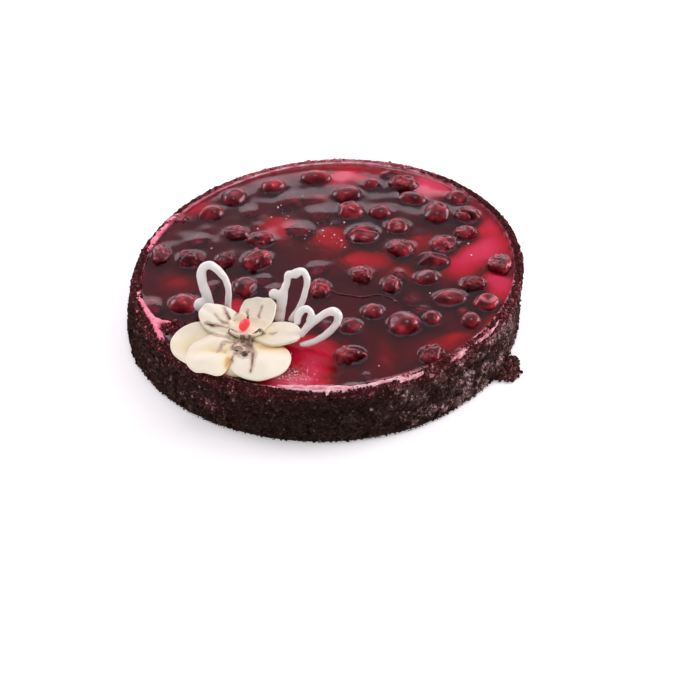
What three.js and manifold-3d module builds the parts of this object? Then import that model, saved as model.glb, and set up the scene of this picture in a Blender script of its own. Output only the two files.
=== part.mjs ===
// A round chilled yogurt cake. Its body is coated with crumbs and has a shallow basin on top. Fruit
// jelly fills the basin, and cherries stand part way out of it. Near the front lies a cream flower
// with a red bead, and three white loops stand behind it.
// Millimetres, +Z up. The origin is the middle of the foot, on the surface the cake stands on.

import * as THREE from 'three';
import { mergeVertices } from 'three/addons/utils/BufferGeometryUtils.js';
import Module from 'manifold-3d';

// Driving dimensions of the body
const CAKE_RADIUS = 115;
const CAKE_HEIGHT = 37;
const RIM_SHIFT = 4; // how far the rim leans towards +X over the foot
const RIM_OVAL = 0.03; // share by which the rim is longer along OVAL_TURN
const OVAL_TURN = THREE.MathUtils.degToRad(60);
const TOP_SLOPE = 0.025; // rise of the top for each millimetre towards +X
const FOOT_ROUND = 1.5;
const RIM_ROUND = 3;
const RIM_WIDTH = 6;
const RIM_FALL = 0.5; // how far the rim falls towards the basin
const BASIN_FLARE = 1.5; // how far the basin opens towards the rim
const WALL_UNEVEN = 0.8; // how far the wall swells and sinks
const WALL_WAVES = [5, 11, 17]; // how many times each of its waves goes round
const WALL_LEVELS = [0.35, 0.65]; // shares of the height at which the wall follows its waves

// Driving dimensions of the jelly and the fruit
const JELLY_DEPTH = 9;
const JELLY_BELOW_RIM = 1.2;
const JELLY_CREEP = 0.6; // how far the jelly climbs the rim
const CREEP_WIDTH = 2; // over which width it does so
const FRUIT_OFF_FLOOR = 0.7;
const FRUIT_ROUNDNESS = 0.84; // height of a cherry for its width
const GAP = 0.3; // clearance between pieces that touch

// How far a cherry of each kind is drawn in, as shares of its radius
const SMOOTH_UNEVEN = 0.03;
const PIT_DEPTH = 0.32;
const PIT_WIDTH = 0.35;
const PIT_X = 0.35;
const PIT_Y = -0.2;
const FURROW_DEPTH = 0.07;
const FURROWS = 6;
const CREASE_DEPTH = 0.2;
const CREASE_WIDTH = 0.33;
const CRUSH_DEPTH = 0.1;
const CRUSH_WAVES = 4.5;

// Driving dimensions of the flower and the loops
const FLOWER_X = -42;
const FLOWER_Y = -70;
const PETAL_START = 2; // from the flower's middle
const PETAL_NECK = 0.45; // width at the start as a share of the full width
const PETAL_FAN = 1.4; // how soon a petal comes to its full width
const PETAL_SWEEP = 2.2; // how late its tip begins to rise
const CUP_RADIUS = 11.5;
const CUP_HEIGHT = 7.5;
const CUP_FOOT = 0.6; // shares of the cup's radius at its foot, at half its height and in its hollow
const CUP_BELLY = 0.9;
const CUP_HOLLOW = 0.55;
const CUP_WALL = 1.6;
const CUP_LIFT = 6.5; // the cup's foot above the jelly
const LIP_WAVES = 5;
const LIP_RISE = 0.12; // of the wavy lip for each millimetre of radius
const BEAD_RADIUS = 3.3;
const LOOP_LEAN = THREE.MathUtils.degToRad(15);
const LOOP_OFF_JELLY = 0.6;

// Fineness of the round pieces
const CAKE_SIDES = 45;
const FRUIT_SIDES = 8;
const FRUIT_RINGS = 5;
const PETAL_SIDES = 12;
const PETAL_RINGS = 8;
const CUP_SIDES = 15;
const LOOP_HALF_SIDES = 3;
const LOOP_STEPS = 17;

const JELLY_LEVEL = CAKE_HEIGHT - JELLY_BELOW_RIM;
const BASIN_LEVEL = JELLY_LEVEL - JELLY_DEPTH;
const BASIN_RADIUS = CAKE_RADIUS - RIM_WIDTH;

// The cherries, in rows from the back of the cake to the front. Each is given as
// [x, y, length, width, height above the jelly, turn in degrees].
const CHERRIES = {
  smooth: [
    [-3, 97, 20, 14, 4.5, 0],
    [-29, 89, 17, 15, 4.5, 10],
    [-53, 78, 18, 17, 5, 30],
    [16, 78, 20, 17, 5, -5],
    [31, 88, 12.5, 11, 3.5, 0],
    [56, 71, 18.5, 13, 4, -15],
    [83, 70, 17, 13, 4, -40],
    [-66, 61, 17, 14, 4.5, 35],
    [36, 57, 15, 14, 4.5, 0],
    [61, -12, 16, 13, 4.5, 10],
    [-44, -16, 15.5, 17, 6, 0],
    [-79, -31, 19, 19, 6, 0],
    [16, -56, 14.5, 13, 4, 0],
    [29, -43, 13.5, 13, 4.5, 20],
    [46, -56, 19.5, 19, 7, 0],
    [62, -51, 10.5, 11.5, 4, 0],
    [84, -54, 12, 13, 4.5, 0],
  ],
  pitted: [
    [18, 59, 18.5, 17, 5.5, 0],
    [70, 54, 18, 19, 6.5, 0],
    [46, 41, 15.5, 14, 4.5, 0],
    [40, -19, 12, 15, 5.5, 10],
  ],
  wrinkled: [
    [51, 88, 18, 15, 5, -20],
    [-36, 31, 16.5, 13, 4.5, -10],
    [47, 18, 17, 14, 4.5, -10],
    [-95, 18, 11, 16, 5, 0],
    [-77, 13, 17.5, 17, 5, 15],
    [-57, 11, 13, 14, 4.5, 0],
    [-38, 10, 19, 19, 6, 20],
    [23, -8, 12, 14.5, 5, 0],
    [87, -19, 16.5, 12, 4, -10],
    [-1, -20, 13, 15, 5, 0],
  ],
  folded: [
    [88, 51, 17, 16, 5, -35],
    [25, 34, 22, 19, 5.5, 0],
    [65, 6, 20.5, 16, 5, -10],
    [73, -32, 21.5, 15, 5, 5],
    [94, -38, 16.5, 18, 5.5, 20],
  ],
  crushed: [
    [86, 32, 14.5, 14, 4, -30],
    [73, 21, 16, 14, 4, 10],
    [-51, 39, 16, 12.5, 4, 0],
    [104, -1, 14, 17, 5, 0],
    [16, -82, 17.5, 15.5, 4.5, 0],
    [60, -84, 15, 17, 5, 35],
  ],
};

// The petals, lower ones first: the direction each points, its size, how far its lip curls up at the
// sides and at the tip, and how high its middle lies over the jelly
const PETALS = {
  petal_front: { turn: 283, long: 40, wide: 41, thick: 6, curl: 1, tip: 2.5, lift: 3.8 },
  petal_left: { turn: 197, long: 43, wide: 37, thick: 6, curl: 6, tip: 3.5, lift: 3.8 },
  petal_front_left: { turn: 236, long: 43, wide: 31, thick: 6, curl: 4, tip: 2.5, lift: 5.2 },
  petal_right: { turn: 5, long: 32, wide: 26, thick: 6, curl: 2, tip: 3, lift: 6 },
  petal_back_left: { turn: 140, long: 33, wide: 23, thick: 5.5, curl: 3, tip: 4, lift: 6 },
  petal_back: { turn: 72, long: 23, wide: 24, thick: 4.5, curl: 2, tip: 11, lift: 6.5 },
};

// The loops: where each stands, the thickness of its strands, the way that each strand goes in the
// loop's own upright plane as [across, up], and a blob of the same stuff
const LOOPS = {
  loop_left: {
    foot: [-60, -41],
    thick: 4,
    blob: { at: [-6.5, 4.5], radius: 5.5 },
    ways: [[
      [-4, 7], [-6.5, 15], [-8, 23], [-7.5, 28], [-3.5, 30],
      [1, 27], [4.5, 22], [7, 15], [7, 8], [7, 0],
    ]],
  },
  loop_middle: {
    foot: [-18, -53],
    thick: 4,
    blob: { at: [-6, 17], radius: 4 },
    ways: [[
      [-6, 0], [-5, 9], [-4, 17], [-2.5, 24], [-1.5, 28.5], [2, 29], [5.5, 31],
      [9, 28], [9, 21], [6.5, 13], [4, 7], [1.5, 0],
    ]],
  },
  loop_right: {
    foot: [-7, -75],
    thick: 3.6,
    blob: { at: [1.5, 14.5], radius: 2.4 },
    ways: [
      [
        [-6.5, 0.5], [-2.5, 7], [2.5, 14], [7.5, 19], [12.5, 21],
        [16.5, 19], [16, 14], [11.5, 8.5], [6, 4.5], [0, 0.5],
      ],
      [[-7.8, 11], [-7, 15.5], [-5.5, 20.5], [-2.4, 23], [0.8, 21.5], [1.8, 18], [1.5, 14]],
    ],
  },
};

const wasm = await Module();
wasm.setup();

// A closed geometry as a solid that can be joined and cut
function solidOf(geometry) {
  const bare = geometry.clone();
  bare.deleteAttribute('normal');
  bare.deleteAttribute('uv');
  const shell = mergeVertices(bare, 1e-3);
  const corners = shell.index.array;
  const triangles = [];
  for (let i = 0; i < corners.length; i += 3) {
    const [a, b, c] = corners.slice(i, i + 3);
    if (a !== b && b !== c && c !== a) {
      triangles.push(a, b, c);
    }
  }
  return new wasm.Manifold(new wasm.Mesh({
    numProp: 3,
    vertProperties: new Float32Array(shell.attributes.position.array),
    triVerts: new Uint32Array(triangles),
  }));
}

function geometryOf(solid) {
  const { vertProperties, triVerts } = solid.getMesh();
  const geometry = new THREE.BufferGeometry();
  geometry.setAttribute('position', new THREE.BufferAttribute(vertProperties, 3));
  geometry.setIndex(new THREE.BufferAttribute(triVerts, 1));
  geometry.computeVertexNormals();
  return geometry;
}

// Moves every vertex of a geometry to where the given function says
function reshape(geometry, place) {
  const position = geometry.attributes.position;
  const point = new THREE.Vector3();
  for (let i = 0; i < position.count; i += 1) {
    point.fromBufferAttribute(position, i);
    place(point);
    position.setXYZ(i, point.x, point.y, point.z);
  }
  return geometry;
}

function smoothStep(value) {
  return THREE.MathUtils.smoothstep(value, 0, 1);
}

// A profile of [radius, height] turned about the upright axis
function turned(profile, sides) {
  const outline = profile.map(([radius, height]) => new THREE.Vector2(radius, height));
  return new THREE.LatheGeometry(outline, sides).rotateX(Math.PI / 2);
}

// The cake as it stands: the rim leans a little, is slightly oval and rises towards +X
function settle(point) {
  const share = point.z / CAKE_HEIGHT;
  const angle = Math.atan2(point.y, point.x);
  const stretch = 1 + share * RIM_OVAL * Math.cos(2 * (angle - OVAL_TURN));
  const slope = TOP_SLOPE * point.x;
  point.x = point.x * stretch + share * RIM_SHIFT;
  point.y *= stretch;
  point.z += share * slope;
}

// The height of the jelly over a place on the cake
function jellyAt(x) {
  return JELLY_LEVEL + (JELLY_LEVEL / CAKE_HEIGHT) * TOP_SLOPE * (x - RIM_SHIFT);
}

// Waves that make the coated wall uneven, nothing at the foot and at the rim
function swell(point) {
  const radius = Math.hypot(point.x, point.y);
  if (radius < CAKE_RADIUS - FOOT_ROUND) return;
  const angle = Math.atan2(point.y, point.x);
  const along = Math.sin(Math.PI * THREE.MathUtils.clamp(point.z / CAKE_HEIGHT, 0, 1));
  let wave = 0;
  WALL_WAVES.forEach((count) => {
    wave += Math.sin(count * (angle + point.z / CAKE_RADIUS)) / WALL_WAVES.length;
  });
  const grown = 1 + (WALL_UNEVEN * along * wave) / CAKE_RADIUS;
  point.x *= grown;
  point.y *= grown;
}

function cakeBody() {
  const corner = RIM_ROUND * (1 - Math.SQRT1_2);
  const profile = [
    [0, 0],
    [CAKE_RADIUS - FOOT_ROUND, 0],
    [CAKE_RADIUS, FOOT_ROUND],
    ...WALL_LEVELS.map((share) => [CAKE_RADIUS, CAKE_HEIGHT * share]),
    [CAKE_RADIUS, CAKE_HEIGHT - RIM_ROUND],
    [CAKE_RADIUS - corner, CAKE_HEIGHT - corner],
    [CAKE_RADIUS - RIM_ROUND, CAKE_HEIGHT],
    [BASIN_RADIUS + BASIN_FLARE, CAKE_HEIGHT - RIM_FALL],
    [BASIN_RADIUS, BASIN_LEVEL],
    [0, BASIN_LEVEL],
  ];
  const body = reshape(turned(profile, CAKE_SIDES), swell);
  return solidOf(reshape(body, settle));
}

function jellyLayer(cherryPockets) {
  const edge = BASIN_RADIUS - GAP;
  const profile = [
    [0, BASIN_LEVEL + GAP],
    [edge, BASIN_LEVEL + GAP],
    [edge, JELLY_LEVEL + JELLY_CREEP],
    [edge - CREEP_WIDTH, JELLY_LEVEL],
    [0, JELLY_LEVEL],
  ];
  return solidOf(reshape(turned(profile, CAKE_SIDES), settle)).subtract(cherryPockets);
}

// A hollow that is deepest at its middle line or point and fades over its width
function hollow(far, width) {
  return Math.exp(-((far / width) ** 2));
}

// How far each kind of cherry is drawn in, in the direction of a unit vector. A pitted one has the
// hole its stone left, a folded one a crease along it, a crushed one is pressed out of shape, and a
// wrinkled one has shrunk in furrows.
const DENTS = {
  smooth: (way) => SMOOTH_UNEVEN * Math.sin(3 * way.x + 2 * way.y),
  pitted: (way) => PIT_DEPTH * hollow(Math.hypot(way.x - PIT_X, way.y - PIT_Y), PIT_WIDTH) * (way.z > 0),
  wrinkled: (way) => FURROW_DEPTH * Math.sin(FURROWS * Math.atan2(way.y, way.x) + 3 * way.z),
  folded: (way) => CREASE_DEPTH * hollow(way.y, CREASE_WIDTH) * (way.z > 0),
  crushed: (way) => CRUSH_DEPTH * Math.sin(CRUSH_WAVES * way.x + 1) * Math.cos(CRUSH_WAVES * way.y),
};

function cherry(kind, [x, y, long, wide, above, turn], grow) {
  const floor = jellyAt(x) - JELLY_DEPTH + FRUIT_OFF_FLOOR;
  const top = jellyAt(x) + above;
  const tall = Math.min(FRUIT_ROUNDNESS * Math.min(long, wide), top - floor);
  const fruit = new THREE.SphereGeometry(1, FRUIT_SIDES, FRUIT_RINGS).rotateX(Math.PI / 2);
  reshape(fruit, (point) => {
    const drawnIn = DENTS[kind](point);
    point.multiplyScalar(1 - drawnIn);
    point.x *= long / 2 + grow;
    point.y *= wide / 2 + grow;
    point.z *= tall / 2 + grow;
  });
  fruit.rotateZ(THREE.MathUtils.degToRad(turn));
  fruit.translate(x, y, top - tall / 2);
  return solidOf(fruit);
}

// The room inside the basin, open upwards, that the cherries keep to
function basinRoom() {
  const edge = BASIN_RADIUS - GAP;
  const profile = [
    [0, BASIN_LEVEL + GAP],
    [edge, BASIN_LEVEL + GAP],
    [edge, 2 * CAKE_HEIGHT],
    [0, 2 * CAKE_HEIGHT],
  ];
  return solidOf(reshape(turned(profile, CAKE_SIDES), settle));
}

// Every cherry, each cut back where it would press into one placed before it or into the rim, and
// the pockets that they leave in the jelly
function cherryBed() {
  const fruits = [];
  const room = basinRoom();
  let pockets = null;
  for (const [kind, rows] of Object.entries(CHERRIES)) {
    rows.forEach((row, index) => {
      let solid = cherry(kind, row, 0).intersect(room);
      if (pockets) solid = solid.subtract(pockets);
      const pocket = cherry(kind, row, GAP);
      pockets = pockets ? pockets.add(pocket) : pocket;
      const number = String(index + 1).padStart(2, '0');
      fruits.push({ name: `cherry_${kind}_${number}`, solid });
    });
  }
  return { fruits, pockets };
}

// A cream petal: a lens drawn out from the flower's middle, widest beyond its half, with its lip
// curled up at the sides and at the tip
function petal({ turn, long, wide, thick, curl, tip, lift }, grow) {
  const lens = new THREE.SphereGeometry(1, PETAL_SIDES, PETAL_RINGS).rotateZ(-Math.PI / 2);
  reshape(lens, (point) => {
    const out = (point.x + 1) / 2;
    const fan = THREE.MathUtils.lerp(PETAL_NECK, 1, smoothStep(out * PETAL_FAN));
    const side = point.y;
    const rise = curl * side ** 2 * out + tip * out ** PETAL_SWEEP;
    point.x = PETAL_START + out * (long - PETAL_START) + grow * point.x;
    point.y = side * ((wide / 2) * fan + grow);
    point.z = point.z * (thick / 2 + grow) + lift + rise;
  });
  lens.rotateZ(THREE.MathUtils.degToRad(turn));
  return solidOf(reshape(lens, ontoCake));
}

// Moves a point that was placed about the flower's middle to its height over the jelly
function ontoCake(point) {
  point.x += FLOWER_X;
  point.y += FLOWER_Y;
  point.z += jellyAt(point.x);
}

// The small cup of cream in the flower's middle, with a wavy lip
function flowerCup(grow) {
  const half = CUP_HEIGHT / 2;
  const profile = [
    [0, -grow],
    [CUP_RADIUS * CUP_FOOT + grow, -grow],
    [CUP_RADIUS * CUP_BELLY + grow, half],
    [CUP_RADIUS + grow, CUP_HEIGHT + grow],
    [CUP_RADIUS - CUP_WALL + grow, CUP_HEIGHT + grow],
    [CUP_RADIUS * CUP_HOLLOW, half + CUP_WALL / 2 + grow],
    [0, half + grow],
  ];
  const cup = reshape(turned(profile, CUP_SIDES), (point) => {
    const angle = Math.atan2(point.y, point.x);
    const wave = LIP_RISE * Math.hypot(point.x, point.y) * Math.sin(LIP_WAVES * angle);
    point.z += (wave * point.z) / CUP_HEIGHT + CUP_LIFT;
  });
  return solidOf(reshape(cup, ontoCake));
}

function redBead() {
  const bead = new THREE.IcosahedronGeometry(BEAD_RADIUS, 1);
  bead.translate(0, 0, CUP_LIFT + CUP_HEIGHT / 2 + BEAD_RADIUS + 2 * GAP);
  return solidOf(reshape(bead, ontoCake));
}

// The flower from the bottom up: each piece is cut back where it lies on the ones below it
function flower() {
  const pieces = [];
  let below = null;
  for (const [name, shape] of Object.entries(PETALS)) {
    let solid = petal(shape, 0);
    if (below) solid = solid.subtract(below);
    const room = petal(shape, GAP);
    below = below ? below.add(room) : room;
    pieces.push({ name, solid });
  }
  pieces.push({ name: 'flower_cup', solid: flowerCup(0).subtract(below) });
  return { pieces, room: below.add(flowerCup(GAP)) };
}

// A loop of white strands that stands on the jelly and leans back a little
function whiteLoop({ foot, thick, blob, ways }) {
  const [footX, footY] = foot;
  const ground = jellyAt(footX) + LOOP_OFF_JELLY + thick / 2;
  const stand = ([across, up]) => new THREE.Vector3(
    footX + across,
    footY + up * Math.sin(LOOP_LEAN),
    ground + up * Math.cos(LOOP_LEAN),
  );
  const section = new THREE.Shape().absarc(0, 0, thick / 2, 0, 2 * Math.PI);
  const lump = new THREE.IcosahedronGeometry(blob.radius, 1);
  lump.translate(...stand(blob.at).toArray());
  let loop = solidOf(lump);
  for (const way of ways) {
    const strand = new THREE.ExtrudeGeometry(section, {
      steps: LOOP_STEPS,
      curveSegments: LOOP_HALF_SIDES,
      extrudePath: new THREE.CatmullRomCurve3(way.map(stand)),
    });
    loop = loop.add(solidOf(strand));
  }
  return loop;
}

const FINISHES = {
  crumb: { color: 0x33211f, roughness: 0.9 },
  jelly: { color: 0x7a1226, roughness: 0.08 },
  fruit: { color: 0x5a0f1c, roughness: 0.2 },
  cream: { color: 0xf4ead8, roughness: 0.5 },
  bead: { color: 0xf0304a, roughness: 0.25 },
  white: { color: 0xf2efe9, roughness: 0.4 },
};

function piece(name, solid, finish) {
  const material = new THREE.MeshStandardMaterial({ ...FINISHES[finish], metalness: 0 });
  const mesh = new THREE.Mesh(geometryOf(solid), material);
  mesh.name = name;
  return mesh;
}

const cake = new THREE.Group();
const bed = cherryBed();
cake.add(piece('cake_body', cakeBody(), 'crumb'));
cake.add(piece('jelly', jellyLayer(bed.pockets), 'jelly'));
bed.fruits.forEach(({ name, solid }) => {
  cake.add(piece(name, solid, 'fruit'));
});

const bloom = flower();
bloom.pieces.forEach(({ name, solid }) => {
  cake.add(piece(name, solid, 'cream'));
});
cake.add(piece('red_bead', redBead(), 'bead'));

const inTheWay = bloom.room.add(bed.pockets);
for (const [name, shape] of Object.entries(LOOPS)) {
  cake.add(piece(name, whiteLoop(shape).subtract(inTheWay), 'white'));
}

export default cake;
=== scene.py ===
# %% [markdown]
# # A cherry yogurt cake
# The cake is a pale, soft body coated with dark crumbs. A wet layer of cherry jelly fills its top, with
# cherries standing out of it, and a cream flower with white loops lies near the front. The frame that is
# loaded first holds every piece at its true size and place, so nothing has to be fitted later: each step
# below makes the visible surface of some of those pieces.

# %% Load the frame
import math

import bpy
import numpy as np
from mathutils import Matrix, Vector, noise
from mathutils.bvhtree import BVHTree


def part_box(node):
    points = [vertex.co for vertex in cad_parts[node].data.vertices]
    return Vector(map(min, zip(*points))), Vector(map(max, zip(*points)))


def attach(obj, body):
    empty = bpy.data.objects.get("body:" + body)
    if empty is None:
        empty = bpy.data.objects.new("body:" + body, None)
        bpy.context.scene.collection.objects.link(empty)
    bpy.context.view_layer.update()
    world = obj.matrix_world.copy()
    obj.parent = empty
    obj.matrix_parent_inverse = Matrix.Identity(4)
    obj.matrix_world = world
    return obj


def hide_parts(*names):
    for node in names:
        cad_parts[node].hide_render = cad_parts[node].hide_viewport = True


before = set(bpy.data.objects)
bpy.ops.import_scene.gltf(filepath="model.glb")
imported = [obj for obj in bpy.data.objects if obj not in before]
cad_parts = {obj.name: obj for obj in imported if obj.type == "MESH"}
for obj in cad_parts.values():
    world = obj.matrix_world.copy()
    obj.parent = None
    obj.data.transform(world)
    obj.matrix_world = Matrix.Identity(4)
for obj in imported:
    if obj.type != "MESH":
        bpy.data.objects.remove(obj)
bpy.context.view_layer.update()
MM = 0.001


# %% [markdown]
# ## Picking and finishing a piece
# An operator works on whatever is selected, so each piece is picked alone before anything is done to it.
# Points go to and from a mesh as one array, because moving a hundred thousand of them one by one is slow.
# A finished piece gets its look, rides on the cake's one body, and hides the solids of the frame that it
# stands for.


# %% Helpers for every piece
def clear_selection():
    if bpy.context.mode != "OBJECT":
        bpy.ops.object.mode_set(mode="OBJECT")
    bpy.ops.object.select_all(action="DESELECT")


def pick(*pieces):
    clear_selection()
    for piece in pieces:
        piece.select_set(True)
    bpy.context.view_layer.objects.active = pieces[0]


def name_new(name):
    """Names the piece that the last operator made."""
    piece = bpy.context.object
    piece.name = name
    piece.data.name = name
    return piece


def get_points(piece, kind="co"):
    """The places of all vertices or, for "normal", the way they face, as rows of x, y, z."""
    values = np.empty(len(piece.data.vertices) * 3)
    piece.data.vertices.foreach_get(kind, values)
    return values.reshape(-1, 3)


def set_points(piece, points):
    piece.data.vertices.foreach_set("co", np.asarray(points, float).ravel())
    piece.data.update()


def finish_piece(piece, look, slot, *nodes, smooth=True):
    pick(piece)
    bpy.ops.object.transform_apply(location=True, rotation=True, scale=True)
    if smooth:
        bpy.ops.object.shade_smooth()
    piece.data.materials.clear()
    piece.data.materials.append(look)
    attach(piece, "root")
    if nodes:
        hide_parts(*nodes)


# %% [markdown]
# ## Camera and floor
# The cake is seen through a long lens, a little over a metre away and 37 degrees above the floor, so its
# round top hardly narrows towards the back. The camera is turned towards a point beside the cake's middle,
# which sets where the cake lies in the picture. The floor is plain white and glows faintly, so that it
# stays white where little light falls.

# %% Camera
CAMERA_DISTANCE = 1.25
CAMERA_ELEVATION = math.radians(37)
CAMERA_LENS = 108.2
AIM = (0.0165, -0.0116, -0.0154)


def add_object(name, data):
    item = bpy.data.objects.new(name, data)
    bpy.context.scene.collection.objects.link(item)
    return item


def turn_towards(item, aim):
    item.rotation_euler = (Vector(aim) - item.location).to_track_quat("-Z", "Y").to_euler()


camera = add_object("camera", bpy.data.cameras.new("camera"))
camera.data.lens = CAMERA_LENS
camera.location = CAMERA_DISTANCE * Vector((0, -math.cos(CAMERA_ELEVATION), math.sin(CAMERA_ELEVATION)))
turn_towards(camera, AIM)
bpy.context.scene.camera = camera
bpy.context.scene.view_settings.view_transform = "Standard"
print("camera at", tuple(round(value, 3) for value in camera.location))

# %% Floor
FLOOR_SIZE = 6.0


def new_look(name, settings):
    """A new material, with the given settings on its shader's own sockets, and its node tree."""
    look = bpy.data.materials.new(name)
    look.use_nodes = True
    shader = look.node_tree.nodes["Principled BSDF"]
    for socket, value in settings.items():
        shader.inputs[socket].default_value = value
    return look, look.node_tree


clear_selection()
bpy.ops.mesh.primitive_plane_add(size=FLOOR_SIZE)
floor = name_new("floor")
floor_look, tree = new_look("floor_white", {
    "Base Color": (0.95, 0.95, 0.95, 1),
    "Roughness": 0.9,
    "Emission Color": (1, 1, 1, 1),
    "Emission Strength": 0.25,
})
floor.data.materials.append(floor_look)
print("floor", FLOOR_SIZE, "m wide")

# %% [markdown]
# ## Light
# A wet top mirrors whatever stands behind it, so the light matters as much as the materials: a wide panel
# behind the cake gives the grey sheen on the back of the jelly and on the backs of the cherries, panels at
# the sides give the sheen on their flanks, and a small box above gives their soft glints. The lamps that
# only light the cake aren't mirrored in it, or the fronts of the cherries would be grey instead of red.

# %% Soft boxes
COOL = (1.0, 0.82, 0.93)


def soft_box(name, place, size, power, aim=(0, 0, 0.03), tint=(1, 1, 1), mirrored=True):
    lamp = add_object(name, bpy.data.lights.new(name, "AREA"))
    lamp.data.shape = "RECTANGLE"
    lamp.data.size, lamp.data.size_y = size
    lamp.data.energy = power
    lamp.data.color = tint
    lamp.location = place
    turn_towards(lamp, aim)
    lamp.visible_glossy = mirrored


soft_box("back_panel", (0.0, 1.9, 0.93), (2.6, 0.66), 12, aim=(0.0, 0, 0.93), tint=COOL)
soft_box("over_back", (-0.3, 0.84, 1.33), (1.6, 0.5), 2.2, tint=COOL)
soft_box("left_panel", (-1.5, 0.8, 0.7), (0.8, 0.7), 8, tint=COOL)
soft_box("right_panel", (1.6, 0.3, 0.4), (1.2, 0.75), 18, tint=COOL)
soft_box("top_box", (0.15, -0.1, 1.8), (0.45, 0.45), 3)
soft_box("key", (0.9, 0.2, 1.5), (0.9, 0.9), 3.2, mirrored=False)
soft_box("sky", (-0.35, -0.1, 1.9), (1.2, 1.2), 4.2, mirrored=False)
soft_box("right_fill", (0.4, 0.05, 0.35), (0.25, 0.25), 0.5, aim=(0.09, 0, 0.036), mirrored=False)
soft_box("front_fill", (-0.35, -1.6, 1.05), (2.0, 1.2), 13.5, mirrored=False)
print(len(bpy.data.lights), "soft boxes")

# %% A pale room, brighter towards the back
ROOM_TINT = (0.96, 0.88, 1.0, 1)
ROOM_RANGE = {"From Min": -0.7, "From Max": 0.7, "To Min": 0.1, "To Max": 0.55}

world = bpy.data.worlds.new("pale_room")
world.use_nodes = True
tree = world.node_tree
direction = tree.nodes.new("ShaderNodeTexCoord").outputs["Generated"]
parts = tree.nodes.new("ShaderNodeSeparateXYZ")
tree.links.new(direction, parts.inputs["Vector"])
towards_back = tree.nodes.new("ShaderNodeMapRange")
tree.links.new(parts.outputs["Y"], towards_back.inputs["Value"])
for socket, value in ROOM_RANGE.items():
    towards_back.inputs[socket].default_value = value
tree.links.new(towards_back.outputs["Result"], tree.nodes["Background"].inputs["Strength"])
tree.nodes["Background"].inputs["Color"].default_value = ROOM_TINT
bpy.context.scene.world = world
print("room from", ROOM_RANGE["To Min"], "in front to", ROOM_RANGE["To Max"], "behind")

# %% [markdown]
# ## Looks
# Each look is a Principled shader whose colour and small relief come from noise or from values kept on the
# mesh. A few short helpers make the nodes, so that a look reads as a list of what it is like. The noise is
# one node group that every look uses at its own scale.

# %% The grain that the looks share
grain_group = bpy.data.node_groups.new("grain", "ShaderNodeTree")
way_in = grain_group.nodes.new("NodeGroupInput")
way_out = grain_group.nodes.new("NodeGroupOutput")
place = grain_group.nodes.new("ShaderNodeTexCoord")
texture = grain_group.nodes.new("ShaderNodeTexNoise")
grain_group.links.new(place.outputs["Object"], texture.inputs["Vector"])
for socket, start in (("Scale", 200.0), ("Detail", 4.0), ("Roughness", 0.5)):
    entry = grain_group.interface.new_socket(socket, in_out="INPUT", socket_type="NodeSocketFloat")
    entry.default_value = start
    grain_group.links.new(way_in.outputs[socket], texture.inputs[socket])
grain_group.interface.new_socket("Mask", in_out="OUTPUT", socket_type="NodeSocketFloat")
grain_group.links.new(texture.outputs["Fac"], way_out.inputs["Mask"])


def noise_mask(tree, scale, detail=4.0, rough=0.5):
    node = tree.nodes.new("ShaderNodeGroup")
    node.node_tree = grain_group
    node.inputs["Scale"].default_value = scale
    node.inputs["Detail"].default_value = detail
    node.inputs["Roughness"].default_value = rough
    return node.outputs["Mask"]


print("node group", grain_group.name, "with", len(grain_group.nodes), "nodes")


# %% Node helpers
def stored(tree, name, output="Fac"):
    """A value or colour that is kept on the mesh under a name."""
    node = tree.nodes.new("ShaderNodeAttribute")
    node.attribute_name = name
    return node.outputs[output]


def ramp(tree, mask, stops):
    node = tree.nodes.new("ShaderNodeValToRGB")
    while len(node.color_ramp.elements) < len(stops):
        node.color_ramp.elements.new(0.5)
    for element, (place, colour) in zip(node.color_ramp.elements, stops):
        element.position = place
        element.color = (*colour, 1)
    tree.links.new(mask, node.inputs["Fac"])
    return node.outputs["Color"]


def feed(tree, socket, value):
    """Links a node's output to a socket, or sets the socket to a number or a colour."""
    if isinstance(value, (int, float)):
        socket.default_value = value
    elif isinstance(value, tuple):
        socket.default_value = (*value, 1)
    else:
        tree.links.new(value, socket)


def mix(tree, share, first, second, kind="MIX"):
    node = tree.nodes.new("ShaderNodeMix")
    node.data_type = "RGBA"
    node.blend_type = kind
    feed(tree, node.inputs["Factor"], share)
    feed(tree, node.inputs[6], first)
    feed(tree, node.inputs[7], second)
    return node.outputs[2]


def math_node(tree, operation, first, second):
    node = tree.nodes.new("ShaderNodeMath")
    node.operation = operation
    feed(tree, node.inputs[0], first)
    feed(tree, node.inputs[1], second)
    return node.outputs[0]


# %% Colour and relief of a look
def colour_by(tree, colour):
    tree.links.new(colour, tree.nodes["Principled BSDF"].inputs["Base Color"])


def bump(tree, height, distance):
    node = tree.nodes.new("ShaderNodeBump")
    node.inputs["Strength"].default_value = 1.0
    node.inputs["Distance"].default_value = distance
    tree.links.new(height, node.inputs["Height"])
    tree.links.new(node.outputs["Normal"], tree.nodes["Principled BSDF"].inputs["Normal"])


# %% [markdown]
# ## Looks of the coat
# Cake crumbs are dull, so the coat hardly shines. The body and its crumbs keep their colour on the mesh,
# because it follows the cake and not a pattern: redder towards the rim, dusted at one side, and lighter at
# the right in a painted sheen. A smear is cream with some jelly in it, and a darker red in patches on the
# smears at the right.

# %% Coated cream, crumbs and smears
coat_look, tree = new_look("coated_cream", {"Roughness": 0.7, "Specular IOR Level": 0.05})
grain = ramp(tree, noise_mask(tree, 900, 3), [(0.3, (0.6, 0.6, 0.6)), (0.7, (1.2, 1.2, 1.2))])
paint = stored(tree, "paint", "Color")
grained = mix(tree, 1.0, paint, grain, "MULTIPLY")
colour_by(tree, mix(tree, stored(tree, "coat"), paint, grained))
bump(tree, math_node(tree, "MULTIPLY", noise_mask(tree, 700, 4), stored(tree, "coat")), 0.8 * MM)

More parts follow.
